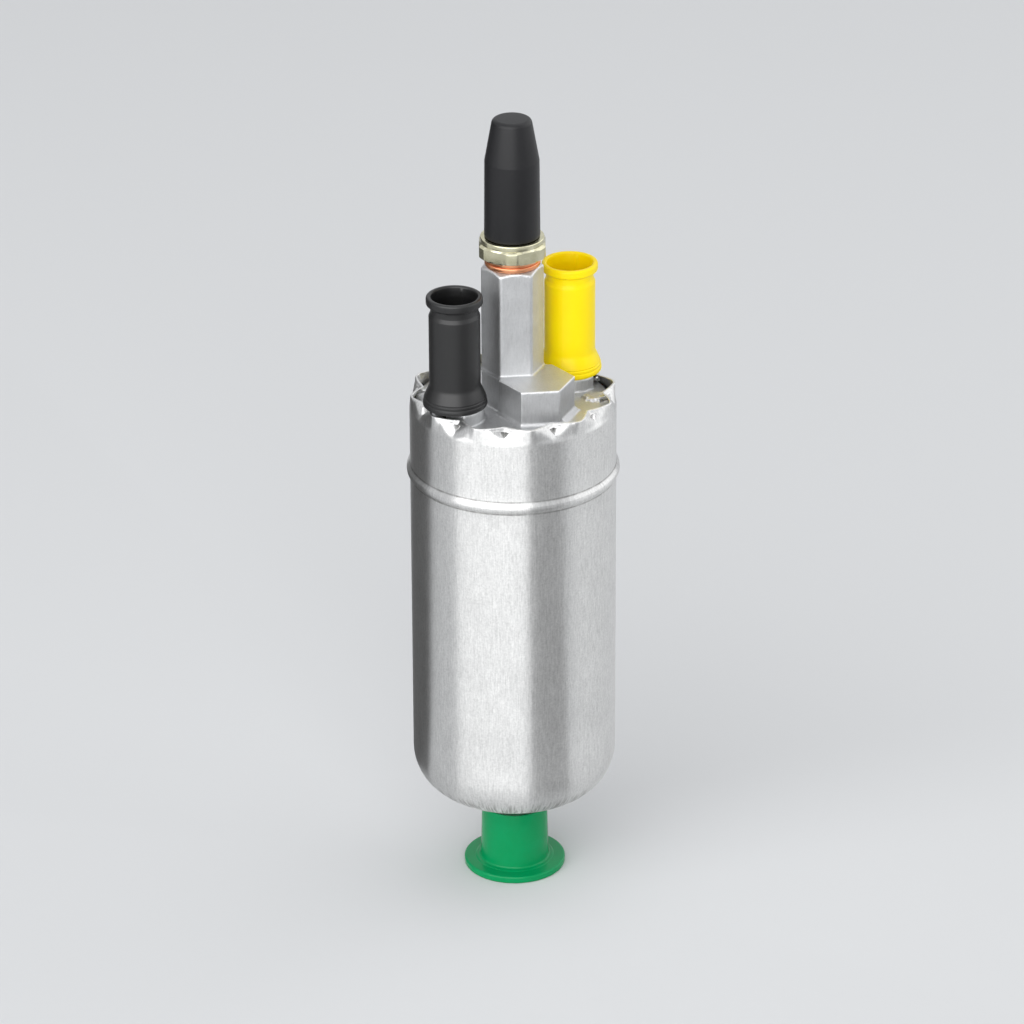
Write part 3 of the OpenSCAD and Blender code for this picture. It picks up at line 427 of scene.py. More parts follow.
class EffectLibrary:
    """Builds each shared effect once, as a node group that materials place with their own values."""

    clear: float = 0.3

    def __init__(self) -> None:
        """Starts with no group built."""
        self.groups: dict[Effect, bpy.types.NodeTree] = {}

    def get(self, effect: Effect) -> bpy.types.NodeTree:
        """Returns the effect's group, built on its first use."""
        if effect not in self.groups:
            self.groups[effect] = getattr(self, effect.value)()
        return self.groups[effect]

    def start(self, effect: Effect, outputs: Sequence[str] = ("Mask",),
              **inputs: float) -> tuple[Wiring, Sequence[Socket], Sequence[Socket]]:
        """Opens a group with the given sockets.

        Args:
            effect: Which effect the group is for.
            outputs: Names of the masks that the group puts out.
            inputs: Name and usual value of each input.

        Returns:
            The wiring, and inside the group what is given to it and what it puts out.
        """
        tree = bpy.data.node_groups.new(effect.value, "ShaderNodeTree")
        for way, names in (("INPUT", inputs), ("OUTPUT", outputs)):
            for name in names:
                socket = tree.interface.new_socket(name=name, in_out=way, socket_type="NodeSocketFloat")
                socket.default_value = inputs.get(name, 0.0)
        return Wiring(tree), tree.nodes.new("NodeGroupInput").outputs, tree.nodes.new("NodeGroupOutput").inputs

    def straight_grain(self) -> bpy.types.NodeTree:
        """Fine marks along Z, as brushing or drawing leaves them; with a radius they run on under a round end.

        Returns:
            The group. Its streaks are the same marks, broader.
        """
        wiring, given, put = self.start(Effect.GRAIN, ("Mask", "Streaks"), Width=0.0002, Length=0.02, Radius=0.0)
        x, y, z = wiring.axes()
        out = wiring.maths("DIVIDE", given["Radius"], wiring.maths("MAXIMUM", wiring.radius(x, y), 1e-5))
        turned = wiring.maths("GREATER_THAN", given["Radius"], 0.0)
        swell = wiring.maths("MULTIPLY_ADD", turned, wiring.maths("SUBTRACT", out, 1.0), 1.0)
        x, y = (wiring.maths("MULTIPLY", way, swell) for way in (x, y))
        for name, share, detail, clear in (("Mask", 1.0, 3.0, self.clear), ("Streaks", 9.0, 2.0, 0.35)):
            width, length = (wiring.maths("MULTIPLY", given[key], share) for key in ("Width", "Length"))
            place = wiring.scaled(*(wiring.maths("DIVIDE", way, size)
                                    for way, size in ((x, width), (y, width), (z, length))))
            marks = wiring.cloud(place, 1.0, detail, 0.6)
            wiring.fill(put[name], wiring.spread(marks, 0, 1, clear, 1 - clear))
        return wiring.tree

    def turning_marks(self) -> bpy.types.NodeTree:
        """Fine rings round a vertical axis, as a lathe leaves them.

        Returns:
            The group.
        """
        wiring, given, put = self.start(Effect.TURNING, Width=0.00015)
        x, y, z = wiring.axes()
        out, up = (wiring.maths("DIVIDE", way, given["Width"]) for way in (wiring.radius(x, y), z))
        rings = wiring.cloud(wiring.scaled(out, 0.0, up), 1.0, 2.0, 0.6)
        wiring.fill(put["Mask"], wiring.spread(rings, 0, 1, self.clear, 1 - self.clear))
        return wiring.tree

    def fine_speckle(self) -> bpy.types.NodeTree:
        """Small even grain, for cast skin, blasted metal and moulded plastic.

        Returns:
            The group.
        """
        wiring, given, put = self.start(Effect.SPECKLE, Grain=0.0003, Depth=3.0)
        scale = wiring.maths("DIVIDE", 1.0, given["Grain"])
        cloud = wiring.cloud(wiring.place(), scale, given["Depth"], 0.65)
        wiring.fill(put["Mask"], wiring.spread(cloud, 0, 1, self.clear, 1 - self.clear))
        return wiring.tree

    def edge_wear(self) -> bpy.types.NodeTree:
        """Convex edges, broken up by grain, where handling brightens or dulls a finish.

        Returns:
            The group.
        """
        wiring, given, put = self.start(Effect.WEAR, Reach=0.52, Grain=0.0006)
        edge = wiring.node("ShaderNodeNewGeometry").outputs["Pointiness"]
        cloud = wiring.cloud(wiring.place(), wiring.maths("DIVIDE", 1.0, given["Grain"]), 3.0)
        worn = wiring.spread(wiring.maths("SUBTRACT", edge, given["Reach"]), 0, 1, 0.0, 0.03)
        wiring.fill(put["Mask"], wiring.maths("MULTIPLY", worn, wiring.spread(cloud, 0.3, 1, 0.35, 0.6)))
        return wiring.tree

    def painted_crevice_shade(self) -> bpy.types.NodeTree:
        """Concave creases, darkened as painted shade.

        Returns:
            The group.
        """
        wiring, given, put = self.start(Effect.CREVICE, Reach=0.48, Span=0.05)
        edge = wiring.node("ShaderNodeNewGeometry").outputs["Pointiness"]
        below = wiring.maths("DIVIDE", wiring.maths("SUBTRACT", given["Reach"], edge), given["Span"])
        wiring.fill(put["Mask"], wiring.spread(below, 0, 1))
        return wiring.tree

    def slow_mottle(self) -> bpy.types.NodeTree:
        """Large soft clouds, for stains, handling and uneven plating.

        Returns:
            The group.
        """
        wiring, given, put = self.start(Effect.MOTTLE, Patch=0.01, Edge=0.2)
        cloud = wiring.cloud(wiring.place(), wiring.maths("DIVIDE", 1.0, given["Patch"]), 4.0, 0.55, 0.4)
        low, span = wiring.maths("SUBTRACT", 0.5, given["Edge"]), wiring.maths("MULTIPLY", given["Edge"], 2.0)
        lifted = wiring.maths("DIVIDE", wiring.maths("SUBTRACT", cloud, low), span)
        wiring.fill(put["Mask"], wiring.spread(lifted, 0, 1))
        return wiring.tree


EFFECTS = EffectLibrary()


# Finishes

@dataclass(frozen=True)
class Finish:
    """What every finish has: the record's slot, a colour, a second colour for its variation, and gloss."""

    slot: str
    colour: Colour
    shade: Colour
    rough: float = 0.4
    rough_spread: float = 0.08
    bump: float = 0.1
    bump_depth: float = 0.00002
    metallic: ClassVar[float] = 1.0

    def material(self) -> bpy.types.Material:
        """Builds the material, or returns it if it is there already.

        Returns:
            The finished material.
        """
        name = self.slot + "_finish"
        made = bpy.data.materials.get(name)
        if not made:
            made, wiring, surface = new_material(name, Metallic=self.metallic)
            self.dress(wiring, surface)
        return made

    def lay(self, wiring: Wiring, surface: bpy.types.Node, tone: Socket, gloss: Socket, height: Socket) -> None:
        """Joins a tone mask, a gloss mask and a height to the surface.

        Args:
            wiring: The material's wiring.
            surface: The Principled BSDF.
            tone: Mask that mixes the two colours.
            gloss: Mask that spreads the roughness.
            height: Height for the bump.
        """
        low, high = self.rough - self.rough_spread, self.rough + self.rough_spread
        bump = wiring.node("ShaderNodeBump", Strength=self.bump, Distance=self.bump_depth, Height=height)
        wiring.set(surface, Base_Color=wiring.blend(wiring.spread(tone, 0, 1), self.shade, self.colour),
                   Roughness=wiring.spread(gloss, low, high), Normal=bump.outputs[0])

    def dress(self, wiring: Wiring, surface: bpy.types.Node) -> None:
        """Gives the surface its look; each kind of finish has its own.

        Args:
            wiring: The material's wiring.
            surface: The Principled BSDF.
        """
        raise NotImplementedError


@dataclass(frozen=True)
class DrawnAluminium(Finish):
    """Bright drawn aluminium: vertical grain, sparkle, rubbed marks round the bottom, and painted shade in creases
    and as lines at the bead.
    """

    dark_low_z: float = 0.0
    dark_high_z: float = 0.0
    bead_z: float = 0.0
    bead_half: float = 0.0
    round_r: float = 0.03
    # dark colour for the real rubbed marks and for the painted shade in creases and at the bead's feet
    rub_and_shade: Colour = (0.10, 0.095, 0.085)

    def dress(self, wiring: Wiring, surface: bpy.types.Node) -> None:
        """Wires grain, sparkle, stains and wear, and under them the dark marks: rubbed marks, and painted shade in
        creases and along the bead's feet.
        """
        tangent = wiring.node("ShaderNodeTangent", {"direction_type": "RADIAL", "axis": "Z"})
        wiring.set(surface, Anisotropic=0.97, Anisotropic_Rotation=0.25, Tangent=tangent.outputs[0])
        grain, scratches, dashes = (
            wiring.effect(Effect.GRAIN, Width=width, Length=length, Radius=self.round_r)
            for width, length in ((0.0004, 0.0032), (0.0003, 0.02), (0.0007, 0.006)))
        sparkle = wiring.effect(Effect.SPECKLE, Grain=0.0006, Depth=2.0)
        stain = wiring.effect(Effect.MOTTLE, Patch=0.012, Edge=0.3)
        wear = wiring.effect(Effect.WEAR, Reach=0.51, Grain=0.0004)
        tone = wiring.total((sparkle, 0.35), (grain, 0.4), (scratches, 0.15), (stain, 0.2), (wear, 0.4))
        gloss = wiring.total((stain, 0.4), (grain, 0.6))
        self.lay(wiring, surface, tone, gloss, wiring.total((sparkle, 1.0), (grain, 0.8), (scratches, 0.25)))
        bright = surface.inputs["Base Color"].links[0].from_socket
        height = wiring.axes()[2]
        band = wiring.maths("MULTIPLY", wiring.spread(height, 0, 1, self.dark_low_z - 0.0015, self.dark_low_z),
                            wiring.spread(height, 1, 0, self.dark_high_z, self.dark_high_z + 0.003))
        rubbed = wiring.maths("MULTIPLY", band, wiring.spread(dashes, 1.0, 0.0, 0.3, 0.6))
        off = wiring.maths("ABSOLUTE", wiring.maths("SUBTRACT", height, self.bead_z))
        line = wiring.maths("ABSOLUTE", wiring.maths("SUBTRACT", off, self.bead_half))
        # painted shade: thin dark lines along the bead's upper and lower feet, broken up by the streaks
        foot = wiring.maths("MULTIPLY", wiring.spread(line, 0.75, 0, 0, 0.0004),
                            wiring.spread(grain.node.outputs["Streaks"], 0.45, 1))
        # painted shade in concave creases and at the bead, with the real rubbed marks, all in the one dark colour
        dark = wiring.maths("MAXIMUM", wiring.effect(Effect.CREVICE, Reach=0.46, Span=0.06), foot)
        dark = wiring.maths("MAXIMUM", dark, wiring.maths("MULTIPLY", rubbed, 0.55))
        wiring.set(surface, Base_Color=wiring.blend(dark, bright, self.rub_and_shade))


@dataclass(frozen=True)
class CastAluminium(Finish):
    """Matt die-cast aluminium with vertical tool marks and a grainy skin."""

    def dress(self, wiring: Wiring, surface: bpy.types.Node) -> None:
        """Wires skin, tool marks, stains and bright edges."""
        grain = wiring.effect(Effect.GRAIN, Width=0.0004, Length=0.003)
        skin = wiring.effect(Effect.SPECKLE, Grain=0.0006, Depth=4.0)
        stain = wiring.effect(Effect.MOTTLE, Patch=0.006, Edge=0.25)
        wear = wiring.effect(Effect.WEAR, Reach=0.505, Grain=0.0005)
        tone = wiring.total((grain, 0.3), (stain, 0.35), (skin, 0.3), (wear, 1.0))
        self.lay(wiring, surface, tone, skin, wiring.total((skin, 1.0), (grain, 0.5)))


@dataclass(frozen=True)
class TurnedMetal(Finish):
    """Turned or ground metal: fine rings round the piece's own Z, uneven plating and worn edges."""

    plating: float = 0.5

    def dress(self, wiring: Wiring, surface: bpy.types.Node) -> None:
        """Wires rings, plating and wear."""
        rings = wiring.effect(Effect.TURNING, Width=0.00014)
        plate = wiring.effect(Effect.MOTTLE, Patch=0.004, Edge=0.25)
        skin = wiring.effect(Effect.SPECKLE, Grain=0.0002, Depth=2.0)
        wear = wiring.effect(Effect.WEAR, Reach=0.53, Grain=0.0005)
        tone = wiring.total((rings, 1 - self.plating), (plate, self.plating), (wear, 0.6))
        self.lay(wiring, surface, tone, rings, wiring.total((rings, 1.0), (skin, 0.3)))


@dataclass(frozen=True)
class RawMetal(Finish):
    """Sintered, phosphated, laminated or drawn metal that carries no plating."""

    grain: float = 0.0004
    sheets: float = 0.0

    def dress(self, wiring: Wiring, surface: bpy.types.Node) -> None:
        """Wires skin and stains and, on laminated steel, the edges of the sheets."""
        skin = wiring.effect(Effect.SPECKLE, Grain=self.grain, Depth=4.0)
        stain = wiring.effect(Effect.MOTTLE, Patch=0.008, Edge=0.3)
        wear = wiring.effect(Effect.WEAR, Reach=0.53, Grain=0.0005)
        relief = skin
        if self.sheets:
            sheet = wiring.maths("PINGPONG", wiring.axes()[2], self.sheets)
            relief = wiring.spread(sheet, 0, 1, 0, self.sheets * 0.4)
        self.lay(wiring, surface, wiring.total((relief, 0.5), (stain, 0.5), (wear, 0.4)), skin, relief)


@dataclass(frozen=True)
class Moulded(Finish):
    """Moulded plastic or rubber: a slight cloud in its colour, moulding grain and scuffed edges."""

    grain: float = 0.00025
    sheen: float = 0.0
    through: float = 0.0
    shine: float = 0.5
    metallic: ClassVar[float] = 0.0

    def dress(self, wiring: Wiring, surface: bpy.types.Node) -> None:
        """Wires flow marks, moulding grain and scuffs."""
        wiring.set(surface, Sheen_Weight=self.sheen, Specular_IOR_Level=self.shine,
                   Subsurface_Weight=self.through, Subsurface_Scale=0.0015)
        flow = wiring.effect(Effect.MOTTLE, Patch=0.006, Edge=0.35)
        skin = wiring.effect(Effect.SPECKLE, Grain=self.grain, Depth=3.0)
        wear = wiring.effect(Effect.WEAR, Reach=0.53, Grain=0.0008)
        tone, gloss = wiring.total((skin, 0.3), (flow, 0.7)), wiring.total((skin, 1.0), (wear, 0.5))
        self.lay(wiring, surface, tone, gloss, skin)


@dataclass(frozen=True)
class Gauze(Finish):
    """Woven brass gauze, as crossing wires over the strainer's thimble."""

    pitch: float = 0.0007

    def dress(self, wiring: Wiring, surface: bpy.types.Node) -> None:
        """Wires two sets of crossing wires."""
        x, y, z = wiring.axes()
        weave = wiring.maths("MAXIMUM", *(wiring.maths("PINGPONG", way, self.pitch)
                                          for way in (wiring.maths("ADD", x, y), z)))
        relief = wiring.spread(weave, 0, 1, 0, self.pitch)
        self.lay(wiring, surface, relief, wiring.effect(Effect.MOTTLE, Patch=0.004, Edge=0.3), relief)


FINISHES: dict[str, Finish] = {finish.slot: finish for finish in (
    DrawnAluminium("can_aluminium", (0.80, 0.80, 0.79), (0.46, 0.46, 0.455), rough=0.35, rough_spread=0.04,
                   bump=0.24, dark_low_z=0.0275, dark_high_z=0.0315, bead_z=0.1311, bead_half=0.0019),
    CastAluminium("cast_aluminium", (0.67, 0.675, 0.68), (0.45, 0.455, 0.46), rough=0.5, rough_spread=0.06,
                  bump=0.4, bump_depth=0.00004),
    Moulded("green_plastic", (0.0, 0.29, 0.10), (0.0, 0.235, 0.07), rough=0.22, rough_spread=0.04, bump=0.05,
            shine=0.2),
    Moulded("yellow_plastic", (1.0, 0.78, 0.0), (1.0, 0.73, 0.0), rough=0.36, rough_spread=0.05, bump=0.05,
            through=0.12, shine=0.25),
    Moulded("black_plastic", (0.008, 0.0078, 0.0078), (0.005, 0.005, 0.0055), rough_spread=0.05, bump=0.14,
            shine=0.55),
    Moulded("cap_rubber", (0.009, 0.009, 0.0105), (0.005, 0.005, 0.006), rough=0.45, rough_spread=0.05, bump=0.16,
            grain=0.0003, shine=0.36),
    TurnedMetal("copper", (0.95, 0.45, 0.24), (0.70, 0.27, 0.13), rough=0.32, rough_spread=0.07),
    TurnedMetal("valve_zinc", (0.78, 0.75, 0.56), (0.46, 0.44, 0.28), rough=0.22, rough_spread=0.06, plating=0.75),
    TurnedMetal("inlet_steel", (0.86, 0.87, 0.88), (0.62, 0.63, 0.64), rough=0.26, rough_spread=0.07),
    TurnedMetal("stud_steel", (0.76, 0.72, 0.50), (0.52, 0.48, 0.30), rough=0.3, plating=0.7),
    RawMetal("spring_steel", (0.62, 0.63, 0.65), (0.42, 0.43, 0.45), rough=0.3, grain=0.0002),
    TurnedMetal("winding_copper", (0.62, 0.26, 0.12), (0.40, 0.14, 0.06), rough=0.32, bump=0.4),
    TurnedMetal("commutator_copper", (0.85, 0.45, 0.28), (0.60, 0.28, 0.16), rough=0.28),
    RawMetal("contact_brass", (0.82, 0.66, 0.32), (0.62, 0.47, 0.2), rough=0.3, grain=0.0003),
    RawMetal("bush_bronze", (0.62, 0.42, 0.24), (0.40, 0.26, 0.13), rough=0.5, grain=0.0002, bump=0.4),
    RawMetal("sintered_steel", (0.42, 0.42, 0.43), (0.28, 0.28, 0.29), rough=0.5, grain=0.00025, bump=0.35),
    TurnedMetal("ground_steel", (0.62, 0.63, 0.65), (0.46, 0.47, 0.49), rough=0.24),
    TurnedMetal("polished_steel", (0.82, 0.83, 0.84), (0.68, 0.69, 0.70), rough=0.12, rough_spread=0.04),
    RawMetal("dark_screw_steel", (0.16, 0.16, 0.17), (0.07, 0.07, 0.075), rough=0.42, grain=0.0002),
    RawMetal("flux_steel", (0.32, 0.33, 0.35), (0.20, 0.21, 0.22), rough=0.55, grain=0.0005),
    RawMetal("laminated_steel", (0.42, 0.43, 0.45), (0.16, 0.17, 0.18), sheets=0.0005, bump=0.5),
    Moulded("magnet_ferrite", (0.10, 0.10, 0.105), (0.05, 0.05, 0.055), rough=0.6, grain=0.0004, bump=0.3),
    Moulded("brush_carbon", (0.07, 0.062, 0.058), (0.03, 0.028, 0.027), rough=0.65, grain=0.0002, bump=0.3),
    Moulded("phenolic", (0.035, 0.025, 0.02), (0.02, 0.014, 0.011), grain=0.0003),
    Moulded("deck_plastic", (0.70, 0.66, 0.54), (0.60, 0.56, 0.45), rough=0.42, through=0.1),
    Moulded("poppet_plastic", (0.80, 0.80, 0.77), (0.72, 0.72, 0.69), rough=0.38, through=0.1),
    Moulded("seal_rubber", (0.022, 0.022, 0.022), (0.012, 0.012, 0.012), rough=0.5, sheen=0.05),
    Gauze("strainer_gauze", (0.78, 0.62, 0.30), (0.30, 0.22, 0.09), bump=0.6, bump_depth=0.0001),
)}
SLOTS: dict[str, str] = {part["node"]: part["material_slot"] for part in frame["record"]["subparts"]}


def finish_of(node: str) -> Finish:
    """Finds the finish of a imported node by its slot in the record."""
    return FINISHES[SLOTS[node]]


# Pieces

class Assembly:
    """Pieces that are built, dressed and given to their bodies together."""

    body: str = "housing"

    def build(self) -> None:
        """Builds the assembly's pieces; each assembly has its own."""
        raise NotImplementedError

    def settle(self, piece: bpy.types.Object, node: str) -> None:
        """Dresses a piece, gives it to the assembly's body and lets it stand for its node.

        Args:
            piece: The built piece.
            node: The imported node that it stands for.
        """
        finish = finish_of(node)
        piece.data.materials.clear()
        piece.data.materials.append(finish.material())
        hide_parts(node)
        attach(piece, self.body)
        LOG.info("%s stands for %s, %d faces", piece.name, node, len(piece.data.polygons))


@dataclass
class DrawnCan(Assembly):
    """The drawn can: round bottom corner, bead, and an edge folded in over the cover."""

    wall: float = 1.2
    edge_wall: float = 0.75
    corner_r: float = 14.0
    bead_out: float = 1.0
    bead_half: float = 1.9
    bead_drop: float = 24.3
    hole_r: float = 9.0
    folds: int = 12
    first_fold: float = 17.9
    fold_depth: float = 3.5
    fold_half: float = 5.2
    fold_h: float = 3.3
    fold_bow: float = 1.25
    fold_soft: float = 0.28
    fold_fade: float = 1.6
    fold_side: float = 2.4
    fold_uneven: float = 0.07
    pit_half: float = 1.5
    pit_top: float = 1.3
    pit_h: float = 1.5
    pit_depth: float = 1.9
    pit_roof: float = 0.25
    edge_drop: float = 0.25
    edge_band: float = 0.6
    segments: int = 720
    gathering: float = 0.6
    row: float = 4.0
    fine_row: float = 0.2
    low: float = field(init=False)
    top: float = field(init=False)
    r: float = field(init=False)

    def __post_init__(self) -> None:
        """Takes the can's radius and heights from the frame."""
        room = Room.of("can")
        self.low, self.top, self.r = room.foot, room.top, room.r - self.bead_out

    def outline(self) -> list[Point]:
        """Outer skin from the inlet hole up to the edge, then the inner skin back down.

        Returns:
            The outline, with short sides where the folds are.
        """
        crest, edge_r, bore_r = self.r + self.bead_out, self.r - self.edge_wall, self.r - self.wall
        corners = [
            *stack(self.low, (self.hole_r, 0), (self.r, 0, self.corner_r)),
            *stack(self.top - self.bead_drop, (self.r, 0.1 - self.bead_half, 0.45), (crest - 0.12, -0.75, 0.7),
                   (crest, 0, 0.9), (crest - 0.12, 0.75, 0.7), (self.r, self.bead_half - 0.1, 0.45)),
            *stack(self.top, (self.r, 0, 0.2), (edge_r, 0, 0.2), (edge_r, -5, 2.0), (bore_r, -9, 2.0)),
            *stack(self.low + self.wall, (bore_r, 0, self.corner_r - self.wall), (self.hole_r, 0)),
        ]
        coarse = finer(rounded(corners, closed=True, steps=14), self.row, closed=True)
        fine_from = self.top - self.fold_h - self.fold_fade - 0.1
        result: list[Point] = []
        for here, after in sides(coarse, closed=True):
            if max(here[1], after[1]) <= fine_from:
                result.append(here)
                continue
            outside = min(here[0], after[0]) > self.r - self.edge_wall / 2
            row = self.fine_row if outside else 2 * self.fine_row
            result += finer([here, after], row, closed=False)[:-1]
        return result

    def divisions(self) -> np.ndarray:
        """Angles of the can's divisions: one on each fold's ridge, and closer together next to it."""
        even = np.linspace(0, math.tau, self.segments, endpoint=False)
        return even - self.gathering / self.folds * np.sin(self.folds * even) + math.radians(self.first_fold)

    def fold(self, angle: np.ndarray, r: np.ndarray, z: np.ndarray) -> Moved:
        """Presses the folds in: each leans in towards the edge, round a ridge that starts in a small sharp pit.

        Args:
            angle: Angle of each point.
            r: Its radius.
            z: Its height.

        Returns:
            The folded radii, and the heights with the edge a little lower at each fold.
        """
        pitch = math.tau / self.folds
        turned = angle - math.radians(self.first_fold) + pitch / 2
        uneven = 1 + self.fold_uneven * np.sin(2.4 * (np.floor(turned / pitch) % self.folds) + 1)
        across, below = np.abs(turned % pitch - pitch / 2) * self.r, self.top - z
        share = 1 - (across / self.fold_half) ** self.fold_bow - below / self.fold_h
        share = 0.5 * (share + np.sqrt(share ** 2 + 4 * self.fold_soft ** 2))
        share *= smooth_step((self.fold_h + self.fold_fade - below) / self.fold_fade)
        share *= smooth_step((self.fold_half + self.fold_side - across) / self.fold_side)
        left = np.clip(1 - (below - self.pit_top) / (self.pit_h * uneven), 0, 1)
        inside = np.clip(1 - across / np.maximum(self.pit_half * left, TOUCH), 0, 1)
        roof = smooth_step((below - self.pit_top + self.pit_roof) / 0.3)
        pit = self.pit_depth * roof * smooth_step(inside * 1.6) * smooth_step(left * 4) * (left < 1)
        lowered = self.edge_drop * smooth_step(share) * (below < self.edge_band)
        return r - self.fold_depth * uneven * share - pit, z - lowered

    def build(self) -> None:
        """Builds the can."""
        piece = lathe("drawn_can", self.outline(), closed=True, bend=self.fold, angles=self.divisions())
        self.settle(piece, "can")


@dataclass
class CastCover(Assembly):
    """The die-cast cover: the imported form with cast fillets, softened edges and an uneven skin."""

    edge_h: float = 3.4
    block_h: float = 10.6
    sunk: float = 0.5
    lug: Point = (19.6, -13.4)
    lug_form: tuple[float, ...] = (1.0, 0.86, 1.06, 0.9, 1.1, 0.95, 0.84, 1.04, 0.92, 1.08)
    voxel: float = 0.3
    rounds: int = 3
    keep: float = 0.36
    skin: float = 0.02
    skin_scales: tuple[float, ...] = (900.0, 2200.0)
    lug_rough: tuple[float, ...] = (0.25, 0.28)
    lug_middle: Point = (19.6, -13.0)
    lug_spread: float = 22.0
    face_z: float = field(init=False)

    def __post_init__(self) -> None:
        """Takes the height of the cover's face from the can."""
        self.face_z = Room.of("can").top - self.edge_h

    def loft(self, low: Sequence[Point], high: Sequence[Point], top_z: float,
             base_z: float = 0.0) -> tuple[np.ndarray, list[list[int]]]:
        """A closed block between two outlines that have the same number of points.

        Args:
            low: The outline at the base, in order.
            high: The outline at the top.
            top_z: Height of the top over the cover's face.
            base_z: Height of the base over the cover's face; the block starts a little lower.

        Returns:
            Vertices and faces of the block.
        """
        count = len(low)
        rings = [np.column_stack([np.asarray(ring, float), np.full(count, self.face_z + z)])
                 for ring, z in ((low, base_z - self.sunk), (high, top_z))]
        faces = [[k, (k + 1) % count, count + (k + 1) % count, count + k] for k in range(count)]
        return np.vstack(rings), faces + [list(range(count))[::-1], list(range(count, 2 * count))]

    def feet(self) -> list[tuple[np.ndarray, list[list[int]]]]:
        """The cast fillets, the block's square corners, its sloping web, and the rough lug near the edge."""
        post, block, top = (0.0, 0.0), (0.0, -11.3), self.block_h
        turns = [math.tau * k / len(self.lug_form) for k in range(len(self.lug_form))]
        blob = [[(self.lug[0] + r * share * math.cos(turn), self.lug[1] + r * share * math.sin(turn))
                 for share, turn in zip(self.lug_form, turns)] for r in (4.4, 3.2)]
        return [
            self.loft(self.hexagon(17.3, post), self.hexagon(15.7, post), 1.1),
            self.loft(self.hexagon(21.0, block), self.hexagon(19.0, block), 1.0),
            self.loft(self.hexagon(17.0, post), self.hexagon(15.7, post), top + 0.6, top),
            self.loft(self.hexagon(19.2, block), self.hexagon(19.2, block), top),
            self.loft([(9.6, -16.8), (1.0, -21.8), (2.2, -23.4), (11.6, -17.6)],
                      [(9.6, -16.8), (1.0, -21.8), (1.1, -21.9), (9.7, -16.9)], 1.5),
            self.loft(*blob, 0.9),
        ]

    def hexagon(self, flats: float, centre: Point) -> list[Point]:
        """Corners of a hexagon whose flats face +X and -X."""
        reach = flats / math.sqrt(3)
        return [(centre[0] + reach * math.cos(math.radians(30 + 60 * k)),
                 centre[1] + reach * math.sin(math.radians(30 + 60 * k))) for k in range(6)]

    def build(self) -> None:
        """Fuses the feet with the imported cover, rounds it all and roughens its skin."""
        mesh = frame["nodes"]["end_cover"].data.copy()
        piece = add_object("cast_cover", mesh)
        shapes = bmesh.new()
        shapes.from_mesh(mesh)
        bmesh.ops.remove_doubles(shapes, verts=shapes.verts[:], dist=TOUCH * MM)
        for vertices, faces in self.feet():
            made = [shapes.verts.new((Vector(v) * MM).to_tuple()) for v in vertices]
            for face in faces:
                shapes.faces.new([made[k] for k in face])
        shapes.to_mesh(mesh)
        shapes.free()
        for kind, settings in (("REMESH", {"mode": "VOXEL", "voxel_size": self.voxel * MM}),
                               ("SMOOTH", {"factor": 0.5, "iterations": self.rounds}),
                               ("DECIMATE", {"ratio": self.keep})):
            step = piece.modifiers.new(kind.lower(), kind)
            for key, value in settings.items():
                setattr(step, key, value)
        shaped = bpy.data.meshes.new_from_object(piece.evaluated_get(bpy.context.evaluated_depsgraph_get()))
        piece.modifiers.clear()
        piece.data = shaped
        self.roughen(shaped)
        shaped.shade_smooth()
        self.settle(piece, "end_cover")

    def roughen(self, mesh: bpy.types.Mesh) -> None:
        """Moves the cast skin by a little noise, strongest on the rough lug at +X beside the low hexagon.

        Args:
            mesh: The cover's mesh.
        """
        place, normal = np.empty((2, len(mesh.vertices) * 3))
        mesh.vertices.foreach_get("co", place)
        mesh.vertices.foreach_get("normal", normal)
        place, normal = place.reshape(-1, 3), normal.reshape(-1, 3)
        shown = np.nonzero(place[:, 2] / MM > self.face_z - 1.5)[0]
        x, y, z = (place[shown] / MM).T
        clouds = np.array([[noise.noise(Vector(place[k] * scale)) for scale in self.skin_scales] for k in shown])
        off = (x - self.lug_middle[0]) ** 2 + (y - self.lug_middle[1]) ** 2
        lug = np.exp(-off / self.lug_spread) * (z < self.face_z + 2.5)
        height = self.skin * clouds.sum(axis=1) + lug * (clouds @ self.lug_rough)
        place[shown] += normal[shown] * height[:, None] * MM
        mesh.vertices.foreach_set("co", place.ravel())
        mesh.update()


